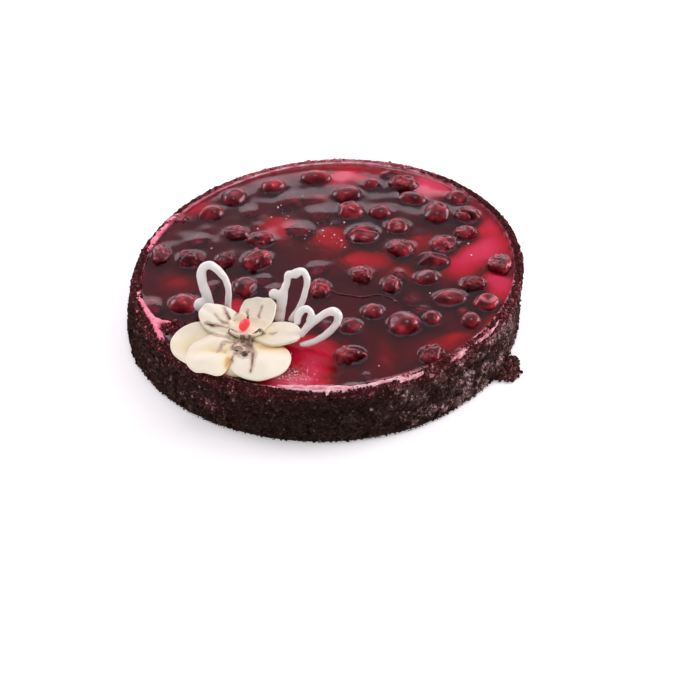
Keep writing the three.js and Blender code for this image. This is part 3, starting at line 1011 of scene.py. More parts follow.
# %% Drawing a strand
def drawn_strand(name, spots, steps=6):
    """A round strand through (x, y, z, radius) spots in metres, along a smooth curve."""
    spots = np.array(spots, float)
    ends = np.concatenate([2 * spots[:1] - spots[1:2], spots, 2 * spots[-1:] - spots[-2:-1]])
    way = []
    for before, here, there, after in zip(ends, ends[1:], ends[2:], ends[3:]):
        for share in np.arange(steps) / steps:
            way.append(0.5 * (
                2 * here + (there - before) * share
                + (2 * before - 5 * here + 4 * there - after) * share**2
                + (3 * here - before - 3 * there + after) * share**3
            ))
    way.append(spots[-1])
    clear_selection()
    bpy.ops.curve.primitive_nurbs_path_add()
    strand = name_new(name)
    spline = strand.data.splines[0]
    spline.points.add(len(way) - len(spline.points))
    for point, (x, y, z, radius) in zip(spline.points, way):
        point.co = (x, y, z, 1)
        point.radius = radius / MM
    spline.order_u = 3
    spline.use_endpoint_u = True
    strand.data.resolution_u = 2
    strand.data.bevel_depth = MM
    strand.data.bevel_resolution = 3
    strand.data.use_fill_caps = True
    bpy.ops.object.convert(target="MESH")
    return bpy.context.object


# %% Smears
# The way of each smear on the cake's top in millimetres, with its radius.
SMEARS = {
    "left": [
        (-106, -18, 1.2), (-104, -27, 1.9), (-101, -34, 2.0), (-97.5, -42, 2.2), (-94.5, -48, 3.0),
        (-93, -54, 2.4),
    ],
    "left_low": [(-94, -52, 2.0), (-91, -61, 2.3), (-88, -68, 1.2)],
    "left_spur": [(-96, -45, 2.2), (-92, -47, 1.8), (-88, -48, 1.2), (-85, -49, 0.6)],
    "left_back": [(-92, 50, 0.9), (-96.5, 42, 1.5), (-100, 32, 1.6), (-103, 21, 0.8)],
    "front": [
        (-25, -108, 0.6), (-19, -109.5, 1.3), (-11, -111, 2.2), (3, -112, 2.4), (16, -112, 1.6),
        (30, -110, 1.4),
    ],
    "front_drip": [(2, -111, 1.8), (2.5, -114, 1.7), (2.5, -116, 1.2)],
    "front_right": [(28, -110, 1.0), (38, -107, 1.2), (46, -105, 1.5), (55, -101, 1.0)],
    "right_lump": [(71, -90, 0.8), (74, -87, 1.3), (76.8, -83.5, 2.2), (79.5, -81, 1.0)],
    "right": [(82, -78.5, 0.6), (87, -74, 0.8), (92.5, -68, 1.0), (97, -61, 0.7), (100, -54, 0.5)],
    "right_line": [
        (84, -71.5, 0.7), (91.3, -63.6, 0.8), (99.3, -50.7, 0.8), (105.6, -37, 0.8), (110.2, -22.6, 0.8),
        (112.9, -7.6, 0.7),
    ],
    "back_left": [(-94, 50, 0.8), (-90, 56, 1.4), (-85, 61, 0.8)],
}


def smear_spot(x, y, radius):
    """A thick part of a smear lies lower than a thin one, so that it doesn't stand up like a rope."""
    return x * MM, y * MM, jelly_height(x * MM) + (0.9 - 0.4 * radius) * MM, radius * MM


drawn = [drawn_strand("smear", [smear_spot(*place) for place in way]) for way in SMEARS.values()]
smears = melt("rim_smears", drawn, 0.45 * MM, 3)
roughen(smears, 0.6 * MM, 3 * MM, 51)
roughen(smears, 0.3 * MM, 1.2 * MM, 52)
points = get_points(smears)
degrees = bearing(points)
add_values(smears, "milky", ease(degrees, -125, -100) * (points[:, 0] > -60 * MM))
# How far the smears at the right turn a darker red, in patches.
darker_red = 0.5 + 0.5 * bumps(points, 3 * MM, 53)
add_values(smears, "darker_red", ease(degrees, -72, -55) * (degrees < 0) * np.clip(darker_red, 0, 0.8))
finish_piece(smears, smear_look, "cream")
print(len(SMEARS), "smears,", len(smears.data.polygons), "faces")

# %% [markdown]
# ## Cherries
# Cooked cherries aren't alike: some stay smooth, some show the hole of the stone, some are wrinkled,
# folded over or crushed. They have lost their stones, so most are pressed flat in places, with blunt edges
# between. Each starts as a ball and is drawn in along a rule for its kind, with noise of its own, and takes
# its size, turn and place from its solid in the frame.


# %% Pressing a ball flat and hollow
def cut_flat(ways, planes, sharp=34):
    """The share of a ball's radius that is left by soft planes given as (x, y, z, reach)."""
    planes = np.array(planes)
    reach = planes[:, 3] / np.maximum(ways @ planes[:, :3].T, 0.3)
    return -np.log(np.exp(-sharp * reach).sum(1) + math.exp(-sharp)) / sharp


def pressed(ways, seed, count, deepest, sharp=20):
    """The share of a ball's radius that is left when it is pressed by a few soft planes."""
    own = np.random.default_rng(seed)
    planes = own.normal(size=(count, 3))
    planes /= np.linalg.norm(planes, axis=1)[:, None]
    return cut_flat(ways, np.column_stack([planes, own.uniform(deepest, 0.96, count)]), sharp)


def hollow_with_lip(far, deep, wide, lip, lip_place):
    """A hollow with a raised lip round it, for the distance from its middle."""
    return deep * hill(far, 0, wide) - lip * hill(far, lip_place, 0.16)


# %% How each kind is shaped
# The flat sides of the one cherry that looks like a tent, as a direction and a reach.
TENT_SIDES = [
    (-0.35, -0.5, 0.79, 0.66), (0.75, -0.2, 0.63, 0.62), (-0.1, 0.8, 0.6, 0.72), (0.2, -0.97, 0.1, 0.85),
]


def cherry_shape(kind, ways, seed):
    """The share of the full radius that is left in each direction."""
    slow = bumps(ways, 0.9, seed)
    warped = ways + 0.25 * wander(ways, 0.6, (seed + 0.2, seed + 0.4, seed + 0.6))
    furrows = np.abs(bumps(warped, 0.5, seed + 0.5))
    fine = bumps(warped, 0.26, seed + 0.7)
    if kind == "smooth":
        return 1.03 * pressed(ways, seed, 6, 0.82) + 0.05 * slow
    if kind == "wrinkled":
        return pressed(ways, seed, 7, 0.76) + 0.06 * slow + 0.18 * furrows + 0.1 * fine
    if kind == "pitted":
        far = np.linalg.norm(ways - np.array([0.3, -0.35, 0.85]), axis=1)
        hole = hollow_with_lip(far, 0.42, 0.28, 0.08, 0.5)
        return 1.03 * pressed(ways, seed, 5, 0.85) + 0.06 * slow - hole + 0.05 * furrows
    if kind == "sagging":
        far = np.linalg.norm(ways - np.array([0.0, -0.15, 0.95]), axis=1)
        sag = hollow_with_lip(far, 0.4, 0.42, 0.1, 0.62)
        return 1.02 * pressed(ways, seed, 6, 0.8) + 0.08 * slow - sag + 0.08 * furrows
    if kind == "blocky":
        return 1.15 * cut_flat(ways, TENT_SIDES) + 0.04 * slow + 0.08 * furrows * (ways[:, 0] > 0.1)
    if kind == "folded":
        far = ways[:, 1] + 0.35 * slow - 0.2
        crease = 0.2 * hill(far, 0, 0.16) - 0.08 * hill(far, -0.3, 0.15)
        return 1.06 * pressed(ways, seed, 7, 0.72, sharp=28) + 0.1 * slow - crease * (ways[:, 2] > -0.3)
    return 1.06 * pressed(ways, seed, 9, 0.64, sharp=24) + 0.12 * slow + 0.25 * furrows + 0.06 * fine


# %% One cherry
CRINKLE = {
    "smooth": 0.04, "pitted": 0.1, "sagging": 0.15, "blocky": 0.03, "folded": 0.12, "wrinkled": 0.5,
    "crushed": 0.35,
}
# Painted shade: each cherry is painted darker towards its foot.
FOOT_SHADE = 0.4  # a cherry is darker towards its foot, down to this share
FOOT_HIGH = 5 * MM


def cherry(name, kind, middle, half, turn, seed, ripest=1.1):
    clear_selection()
    bpy.ops.mesh.primitive_uv_sphere_add(segments=48, ring_count=32, radius=1)
    piece = name_new(name)
    ways = get_points(piece)
    points = ways * cherry_shape(kind, ways, seed)[:, None] * half
    cos, sin = math.cos(turn), math.sin(turn)
    points = points @ np.array([[cos, sin, 0], [-sin, cos, 0], [0, 0, 1]]) + middle
    set_points(piece, points)
    foot = max(middle[2] - half[2], jelly_height(middle[0]) - 1 * MM)
    # Painted shade towards the foot, times a random ripeness.
    shade = FOOT_SHADE + (1 - FOOT_SHADE) * ease(points[:, 2], foot, foot + FOOT_HIGH)
    add_values(piece, "ripe_and_foot_shade", shade * rng.uniform(0.4, 1.0) * ripest)
    add_values(piece, "crinkle", np.full(len(points), CRINKLE[kind]))
    return piece


# %% Cherries that stand out of the jelly
# Some of the cherries that are folded in the frame look square-edged, smooth or hollow on top.
OTHER_SHAPE = {"cherry_folded_03": "blocky", "cherry_folded_04": "smooth", "cherry_folded_05": "sagging"}


def lie_of(node):
    """Middle, half sizes and turn of a cherry's solid in the frame."""
    points = get_points(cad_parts[node])
    low, high = points.min(0), points.max(0)
    middle = (low + high) / 2
    flat = points[:, :2] - middle[:2]
    axes = np.linalg.eigh(flat.T @ flat)[1]
    along, across = flat @ axes[:, 1], flat @ axes[:, 0]
    half = np.array([np.ptp(along), np.ptp(across), high[2] - low[2]]) / 2
    return middle, half, math.atan2(axes[1, 1], axes[0, 1])


lies = []
for index, node in enumerate(sorted(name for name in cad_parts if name.startswith("cherry_"))):
    lie = lie_of(node)
    kind = OTHER_SHAPE.get(node, node.split("_")[1])
    piece = cherry("glazed_" + node, kind, *lie, index + 1)
    finish_piece(piece, fruit_look, "fruit", node)
    lies.append(lie)
print(len(lies), "cherries stand out of the jelly")

# %% [markdown]
# ## Sunk cherries
# More cherries lie just under the surface, where the jelly swells a little over them. They are seen only as
# dark shapes, so they are shaped by the same rules, each at its place and with its size, and joined.

# %% Cherries sunk in the jelly
# Middle, length and width in millimetres, and how high the jelly swells over each.
SUNK = [
    (43, 99, 10, 9, 0.7), (-18, 74, 16.5, 14, 0.4), (-43, 62, 11, 9, 0.5), (-1, 58, 12, 12, 0.5),
    (-13, 41.5, 17, 12, 0.6), (-73.5, 34, 12, 9, 0.6), (-3, 1, 14, 12.5, 0.35), (46, -7, 11.5, 8, 0.15),
    (-63, -14, 9, 11.5, 0.3), (-28, -19, 10, 11.5, 0.4), (-33, -9, 10, 11.5, 0.3), (52, -31, 12.5, 12, 0.12),
    (80, -43, 8.5, 8.5, 0.15), (57, -43, 12.5, 9.5, 0.2), (-96, -32, 10, 14, 0.5), (2, -54, 8, 11, 0.2),
    (24, -103, 11, 9, 0.4),
]
SUNK_KINDS = ("smooth", "folded", "wrinkled")
SUNK_TALL = 8 * MM
SUNK_TURN = 0.7
FILM = 0.3 * MM  # the jelly over their tops

sunk, sunk_lies = [], []
for index, (x, y, long, wide, swell) in enumerate(SUNK):
    middle = np.array([x * MM, y * MM, jelly_height(x * MM) - FILM - SUNK_TALL / 2])
    half = np.array([long * MM / 2, wide * MM / 2, SUNK_TALL / 2])
    turn = SUNK_TURN * index
    kind = SUNK_KINDS[index % 3]
    sunk.append(cherry("sunk_cherry", kind, middle, half, turn, index + 60, ripest=2.0))
    sunk_lies.append((middle, half, turn, swell * MM))
pick(*sunk)
bpy.ops.object.join()
sunken = name_new("sunken_cherries")
finish_piece(sunken, fruit_look, "fruit")
print(len(sunk), "cherries are sunk in the jelly")

# %% [markdown]
# ## The jelly
# The jelly is clear and red: what lies under it shows through, the deeper the darker. So it is a closed
# solid with an absorbing inside, not a painted sheet. Its top is level but for slow waves, a thin fold,
# and the little rise where it clings to every cherry and to the rim. Only the places near the cherries
# need a fine mesh, so only those faces are divided again.


# %% How far a place is from a cherry
def beside(points, middle, turn):
    """Where points lie along and across a cherry, seen from above."""
    return turned(points[:, 0] - middle[0], points[:, 1] - middle[1], turn)


def off_cherry(points, middle, half, turn):
    """The distance of each point to the line where the jelly meets a cherry, below 0 inside it."""
    cut = math.sqrt(max(0.06, 1 - ((jelly_height(middle[0]) - middle[2]) / half[2]) ** 2))
    along, across = beside(points, middle, turn)
    return (np.hypot(along / half[0], across / half[1]) / cut - 1) * min(half[0], half[1]) * cut


# %% How its top rises
CLING_HEIGHTS = rng.uniform(0.05 * MM, 0.5 * MM, len(lies))
CLING_WIDTHS = rng.uniform(0.6 * MM, 1.3 * MM, len(lies))
FOLD_LINE = [(4, -20), (9, -25), (16, -27), (24, -29), (31, -27), (39, -30), (43, -35)]


def clinging(points):
    """How far the jelly climbs where it meets the cherries."""
    rise = np.zeros(len(points))
    for lie, height, width in zip(lies, CLING_HEIGHTS, CLING_WIDTHS):
        rise = np.maximum(rise, height * np.exp(-np.maximum(off_cherry(points, *lie), 0) / width))
    return rise


def over_sunk(points):
    """How far the jelly is lifted over the cherries that are sunk in it."""
    lift = np.zeros(len(points))
    for middle, half, turn, height in sunk_lies:
        along, across = beside(points, middle, turn)
        lift = np.maximum(lift, height * np.exp(-1.3 * np.hypot(along / half[0], across / half[1]) ** 2.5))
    return lift


def fold_step(points):
    """A low step along the fold's line: the jelly behind it lies a little higher."""
    line_x, line_y = np.array(FOLD_LINE).T * MM
    past = points[:, 1] - np.interp(points[:, 0], line_x, line_y)
    ends = ease(points[:, 0], line_x[0], line_x[1]) * (1 - ease(points[:, 0], line_x[-2], line_x[-1]))
    return ends * np.tanh(past / (0.4 * MM)) * np.exp(-np.abs(past) / (4 * MM))


print("the jelly climbs the cherries by up to", round(CLING_HEIGHTS.max() / MM, 2), "mm")

# %% Its top
JELLY_CELLS = 216
JELLY_EDGE = BASIN_RADIUS + 1.0 * MM
FINE_NEAR = 1.7 * MM


def disc_grid(name, cells):
    """A square grid drawn into a round disc of radius 1, so that it has no crowded middle."""
    clear_selection()
    bpy.ops.mesh.primitive_grid_add(x_subdivisions=cells, y_subdivisions=cells, size=2)
    piece = name_new(name)
    x, y, z = get_points(piece).T
    set_points(piece, np.stack([x * np.sqrt(1 - y * y / 2), y * np.sqrt(1 - x * x / 2), z], 1))
    return piece


jelly = disc_grid("jelly_layer", JELLY_CELLS)
points = get_points(jelly) * JELLY_EDGE
points[:, 2] = JELLY_LEVEL
points = lean(points)
set_points(jelly, points)
near = np.abs(fold_step(points)) > 0.5
for lie in lies:
    near |= np.abs(off_cherry(points, *lie)) < FINE_NEAR
fine_faces = [bool(near[list(face.vertices)].any()) for face in jelly.data.polygons]
pick(jelly)
bpy.ops.object.mode_set(mode="EDIT")
bpy.ops.mesh.select_mode(type="FACE")
bpy.ops.mesh.select_all(action="DESELECT")
bpy.ops.object.mode_set(mode="OBJECT")
jelly.data.polygons.foreach_set("select", fine_faces)
bpy.ops.object.mode_set(mode="EDIT")
bpy.ops.mesh.subdivide(number_cuts=1)
bpy.ops.object.mode_set(mode="OBJECT")
print("jelly top", len(jelly.data.polygons), "faces after dividing those near the cherries")

# %% Its waves, and its sides and bottom
FOLD_HEIGHT = 0.12 * MM
RIM_CREEP = 0.6 * MM  # how far it climbs the rim
CREEP_WIDTH = 1.5 * MM
JELLY_BELOW = 0.9 * MM  # how far its bottom reaches under the basin's floor

points = get_points(jelly)
rise = layered(points, (0.08 * MM, 9 * MM, 61), (0.16 * MM, 30 * MM, 62))
rise += clinging(points)
rise += FOLD_HEIGHT * fold_step(points) + over_sunk(points)
centre = lean(np.array([[0, 0, JELLY_LEVEL]]))[0]
from_rim = JELLY_EDGE - np.hypot(points[:, 0] - centre[0], points[:, 1] - centre[1])
rise += RIM_CREEP * np.exp(-np.maximum(from_rim, 0) / CREEP_WIDTH)
points[:, 2] += rise
set_points(jelly, points)
pick(jelly)
bpy.ops.object.mode_set(mode="EDIT")
bpy.ops.mesh.select_all(action="SELECT")
bpy.ops.mesh.region_to_loop()
bpy.ops.mesh.extrude_edges_move(TRANSFORM_OT_translate={"value": (0, 0, -JELLY_DEPTH - JELLY_BELOW)})
bpy.ops.mesh.edge_face_add()
bpy.ops.mesh.select_all(action="SELECT")
bpy.ops.mesh.normals_make_consistent(inside=False)
bpy.ops.object.mode_set(mode="OBJECT")
finish_piece(jelly, jelly_look, "jelly", "jelly")
print("jelly", len(jelly.data.polygons), "faces")

# %% [markdown]
# ## A crack and bubbles
# The jelly's skin has a crack along its fold, and small bubbles that rose while it set, most of them as foam
# near the front rim. The shade in the crack is painted: a thin dark strand, melted and roughened. The
# bubbles are made like the crumbs, many small balls in one mesh, and none is put where a cherry stands;
# their pale colour is partly foam and partly a painted glint.

# %% The painted shade of the crack along the fold
CRACK_RADIUS = 0.6 * MM

line = [(x * MM, y * MM, jelly_height(x * MM), CRACK_RADIUS) for x, y in FOLD_LINE]
crack_shade = melt("jelly_crack_shade", [drawn_strand("crack_shade", line)], 0.2 * MM, 2)
roughen(crack_shade, 0.3 * MM, 2 * MM, 63)
# The strand takes the cherries' look at its darkest, as painted shade.
for name in ("ripe_and_foot_shade", "crinkle"):
    add_values(crack_shade, name, np.zeros(len(crack_shade.data.vertices)))
finish_piece(crack_shade, fruit_look, "jelly")
print("crack_shade", len(crack_shade.data.polygons), "faces")

# %% Bubbles in the jelly's skin
# Middle in millimetres, spread, count and largest radius of each flock of bubbles.
FLOCKS = [
    (-20, 45, 30, 60, 0.5), (5, 35, 18, 40, 0.5), (30, 20, 60, 60, 0.5), (-25, 75, 14, 14, 0.5),
    (-22, -101, 15, 420, 0.55), (-14, -105, 11, 240, 0.5),
]
LARGE_BUBBLES = np.array([
    (8, 34), (12, 28), (14, 21), (14, 47), (1, 39), (-1, 28), (87, 21), (88, 9), (43, 57), (-30, 55),
    (-26, 65), (-11, 77), (-65, 24), (-56, 36), (-38, 43), (31, -93), (62, -27),
])
SMALL_BUBBLE = 0.14 * MM
LARGE_BUBBLE = 0.6 * MM
BUBBLE_LIFT = 0.15 * MM
BUBBLE_DENTS = 0.02

places, sizes = [], []
for x, y, spread, count, largest in FLOCKS:
    places.append(rng.normal(size=(count, 2)) * spread * 0.5 + (x, y))
    sizes.append(SMALL_BUBBLE + (largest * MM - SMALL_BUBBLE) * rng.uniform(0, 1, count) ** 4)
places = np.concatenate(places + [LARGE_BUBBLES]) * MM
sizes = np.concatenate(sizes + [LARGE_BUBBLE * rng.uniform(0.7, 1.2, len(LARGE_BUBBLES))])
inside = np.hypot(places[:, 0], places[:, 1]) < BASIN_RADIUS - 4 * MM
for lie in lies:
    inside &= off_cherry(places, *lie) > 0.8 * MM
places, sizes = places[inside], sizes[inside]
heights = jelly_height(places[:, 0]) + BUBBLE_LIFT
bubbles = joined_bits("air_bubbles", np.column_stack([places, heights]), sizes, BUBBLE_DENTS)[0]
finish_piece(bubbles, bubble_look, "jelly")
print(len(places), "bubbles")

# %% [markdown]
# ## The flower
# The flower is made of soft cream: five wide petals and one that stands up at the back, around a small cup
# with a bead. Each petal begins as a round sheet. It is drawn out from the flower's middle, hollowed or
# bulged, and its lip is raised; then it is given its thickness and made round at the edge.

# %% The petals' sizes
FLOWER = np.array([-42, -70]) * MM
# Turn in degrees, lengths in millimetres, and `at`, the share of the length where the hollow is. The yellow
# shade is a place on the cake, with half sizes, where the cream is painted a deep yellow as the shade
# between petals, and how strongly. `square` is how far the petal's end is squared on either side, and
# `shift` is how far it lies beside the middle.
PETALS = {
    "petal_front": {
        "turn": 291, "long": 38.8, "wide": 35, "lift": 3.5, "bulge": 3.0, "hollow": 1.0, "at": 0.3,
        "yellow_shade": (-29, -82, 10, 5, 0.95),
    },
    "petal_left": {
        "turn": 191, "long": 42.5, "wide": 37, "lift": 4.2, "hollow": 3.2, "at": 0.6, "sides": 2,
        "tilt": -1.8, "yellow_shade": (-70, -77, 10, 8, 0.6),
    },
    "petal_front_left": {
        "turn": 249, "long": 40, "wide": 26.5, "shift": -12, "lift": 6.5, "bulge": 2, "square": (0, 0.38),
        "crease": 2.8, "fall": 1.5, "yellow_shade": (-51, -95, 3, 7, 1.4),
    },
    "petal_right": {
        "turn": -3, "long": 31, "wide": 21.5, "shift": -0.8, "lift": 6.5, "bulge": 1, "hollow": 1.8,
        "sides": 1.5, "tip": 1.5,
    },
    "petal_back_left": {
        "turn": 140, "long": 33, "wide": 22, "lift": 6, "bulge": 1.5, "hollow": 1, "tip": 5.5,
        "ripple": 0.5,
    },
    "petal_back": {
        "turn": 66, "long": 21.5, "wide": 21.5, "lift": 6.5, "bulge": 0.6, "sides": 2, "tip": 11,
        "ripple": 0.35, "square": (0.3, 0.3), "tilt": -1.8,
    },
}
print(len(PETALS), "petals, the longest", max(shape["long"] for shape in PETALS.values()), "mm")

# %% The sheet of a petal
PETAL_CELLS = 18
PETAL_START = 2 * MM
PETAL_NECK = 0.6  # width at the start as a share of the full width
PETAL_LIP = 0.5


def petal_sheet(
    name, seed, turn, long, wide, lift, bulge=0, hollow=0, at=0.4, sides=0, tip=0, ripple=0.2,
    crease=0, fall=0, tilt=0, shift=0, square=(0, 0), yellow_shade=(0, 0, 1, 1, 0),
):
    """A round sheet drawn out into a petal and turned to its place, and how far out its points are."""
    piece = disc_grid("cream_" + name, PETAL_CELLS)
    x, side, z = get_points(piece).T
    x = x * (1.02 - side**2) ** -np.where(side < 0, *square)
    out = np.clip((x + 1) / 2, 0, None)
    far = np.hypot(x, side)
    fan = PETAL_NECK + (1 - PETAL_NECK) * ease(out * 2.0, 0, 1)
    dip = spot(out, side, (at, 0), (0.22, 0.55))
    valley = hill(out - 0.51 + 0.14 * side, 0, 0.11) * (0.3 + 0.7 * ease(side, -0.7, 0.3))
    flank = ease(side, 0.45, 1) * ease(out, 0.2, 0.5)
    uneven = 1 + 0.03 * bumps(np.stack([x, side, z], 1), 0.7, seed)
    along = PETAL_START + out * (long * MM - PETAL_START) * uneven
    across = (side * wide / 2 * fan * uneven + shift) * MM
    height = lift + sides * side**2 * out + tip * out**2.2 + bulge * (1 - far**2)
    height += ripple * np.sin(9 * side + 2 * seed) * out + PETAL_LIP * far**4
    height += tilt * side * out - hollow * dip - crease * valley - fall * flank
    turn = math.radians(turn)
    points = np.stack([
        FLOWER[0] + along * math.cos(turn) - across * math.sin(turn),
        FLOWER[1] + along * math.sin(turn) + across * math.cos(turn),
        height * MM,
    ], 1)
    points[:, 2] += jelly_height(points[:, 0])
    set_points(piece, points)
    # Painted shade: yellower in the hollow, the crease, the fallen flank and near the flower's middle, and
    # in the spot where petals shade each other.
    hollow_shade = 0.15 * hollow * dip + 0.25 * crease * valley + 0.15 * fall * flank + 0.3 * hill(out, 0, 0.3)
    spot_shade = yellow_shade[4] * spot(points[:, 0] / MM, points[:, 1] / MM, yellow_shade[:2], yellow_shade[2:4])
    add_values(piece, "fold", np.clip(np.maximum(hollow_shade, spot_shade), 0, 1))
    return piece, far


# %% Making the petals
PETAL_THICK = 4 * MM
PETAL_THINNER = 0.55  # how much of its thickness a petal loses at the edge


def refine(piece, levels):
    """Applies the piece's modifiers, and then a smoothing division of its faces."""
    fine = piece.modifiers.new("fine", "SUBSURF")
    fine.levels = levels
    fine.render_levels = levels
    apply_modifiers(piece)


def thicken(piece, far):
    """Gives a petal its thickness, less towards the edge, and rounds it."""
    full = piece.vertex_groups.new(name="full")
    for index, share in enumerate(1 - PETAL_THINNER * far**2):
        full.add([index], share, "REPLACE")
    thick = piece.modifiers.new("thick", "SOLIDIFY")
    thick.thickness = PETAL_THICK
    thick.offset = 0
    thick.vertex_group = "full"
    refine(piece, 2)


def shade_underside(piece):
    """Painted shade: the cream is a deeper yellow where it faces down."""
    fold = piece.data.attributes["fold"].data
    deep = np.empty(len(fold))
    fold.foreach_get("value", deep)
    down = ease(-get_points(piece, "normal")[:, 2], 0.1, 0.7)
    fold.foreach_set("value", np.maximum(deep, 0.75 * down))


petals = []
for index, (node, shape) in enumerate(PETALS.items()):
    piece, far = petal_sheet(node, 70 + index, **shape)
    thicken(piece, far)
    shade_underside(piece)
    finish_piece(piece, petal_look, "cream", node)
    petals.append(piece)
print(len(petals), "petals,", sum(len(piece.data.polygons) for piece in petals), "faces")

# %% [markdown]
# ## The flower's middle
# Between the petals one sees down to a lump of cream, painted yellow on top and orange below as the shade in
# the gap between them, and on it stands a shallow cup with an uneven lip, higher at the back. The lump is a
# flat ball. The cup is a profile that is spun and then squashed, with its lip raised in peaks. The bead in
# it is a sugar ball that leans a little and glows faintly red, a painted light.

# %% The cream between the petals
HEART_SHIFT = np.array([-5, -12]) * MM
HEART_HALF = (13 * MM, 18 * MM, 7 * MM)
HEART_LIFT = 0.5 * MM

heart = ball("cream_heart", (*(FLOWER + HEART_SHIFT), 0), HEART_HALF)
refine(heart, 2)
# Painted shade: the heart is yellow on top and orange below, in the gap between the petals.
add_values(heart, "fold", 0.25 + 0.75 * ease(-get_points(heart)[:, 2], -4.5 * MM, -2 * MM))
bpy.ops.transform.translate(value=(0, 0, jelly_height(FLOWER[0]) + HEART_LIFT))
finish_piece(heart, petal_look, "cream")
print("heart", len(heart.data.polygons), "faces")

# %% The cup
CUP_MIDDLE = FLOWER + np.array([0.5, 2.5]) * MM
CUP_RADIUS = 11 * MM
CUP_SQUASH = 0.75
CUP_HEIGHT = 5.5 * MM
CUP_WALL = 1.6 * MM
CUP_LIFT = 6 * MM
CUP_STEPS = 60
# The profile under the lip and inside it, as shares of the cup's radius and height.
CUP_OUTSIDE = [(0, 0), (0.5, 0), (0.8, 0.15), (0.93, 0.5)]
CUP_INSIDE = [(0.75, 0.78), (0.5, 0.72), (0.25, 0.74), (0, 0.76)]


def cup_profile(shares):
    return [(radius * CUP_RADIUS, height * CUP_HEIGHT) for radius, height in shares]


cup_lip = [
    (CUP_RADIUS, CUP_HEIGHT - 0.5 * MM),
    (CUP_RADIUS - 0.5 * CUP_WALL, CUP_HEIGHT),
    (CUP_RADIUS - CUP_WALL, CUP_HEIGHT - 0.4 * MM),
]
cup = spin_profile("cream_cup", cup_profile(CUP_OUTSIDE) + cup_lip + cup_profile(CUP_INSIDE), CUP_STEPS)
points = get_points(cup)
radius = np.hypot(points[:, 0], points[:, 1])
turn = np.arctan2(points[:, 1], points[:, 0])
lip = ease(points[:, 2] / CUP_HEIGHT, 0.5, 1) * ease(radius / CUP_RADIUS, 0.55, 0.9)
back_peak = 4.2 * hill(turn, 1.95, 0.4)
side_peaks = 1.6 * hill(turn, 0.45, 0.35) + 1.2 * hill(turn, 2.9, 0.3)
points[:, 2] += lip * (back_peak + side_peaks + 0.7 * np.sin(7 * turn + 0.3)) * MM
points[:, :2] *= (1 + 0.1 * lip * np.sin(5 * turn + 1.2))[:, None]
points[:, 1] *= CUP_SQUASH
points += np.array([*CUP_MIDDLE, CUP_LIFT])
points[:, 2] += jelly_height(points[:, 0])
set_points(cup, points)
# Painted shade: the cup is a little yellower towards its middle.
add_values(cup, "fold", 0.05 + 0.2 * ease(1 - radius / CUP_RADIUS, 0.1, 0.7))
refine(cup, 1)
finish_piece(cup, petal_look, "cream", "flower_cup")
print("cup", len(cup.data.polygons), "faces")

# %% The red bead
BEAD_RADIUS = 3.2 * MM
BEAD_STRETCH = (0.95, 0.95, 1.15)
BEAD_LEAN = 0.3
BEAD_SHIFT = np.array([-0.9, -0.4, 0]) * MM

low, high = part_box("red_bead")
clear_selection()
bpy.ops.mesh.primitive_uv_sphere_add(segments=40, ring_count=26, radius=1)
bead = name_new("sugar_bead")
ways = get_points(bead)
share = 1 + 0.05 * bumps(ways, 0.7, 81)
points = ways * share[:, None] * BEAD_RADIUS * BEAD_STRETCH
points[:, 0] += BEAD_LEAN * points[:, 2]
set_points(bead, points + np.array((low + high) / 2) + BEAD_SHIFT)
finish_piece(bead, bead_look, "bead", "red_bead")
print("bead", round(2 * BEAD_RADIUS / MM, 1), "mm wide")

# %% [markdown]
# ## Brown streaks
# Streaks of brown icing run out from the flower's middle. Each is a path that is drawn flat, dropped onto
# the petals from above, and thickened more at one end than at the other. More than half of it is sunk into
# the cream, so that it shows as a flat stroke. The cream beside it has taken on some of the brown, which is
# kept as a value on the petals' own vertices.

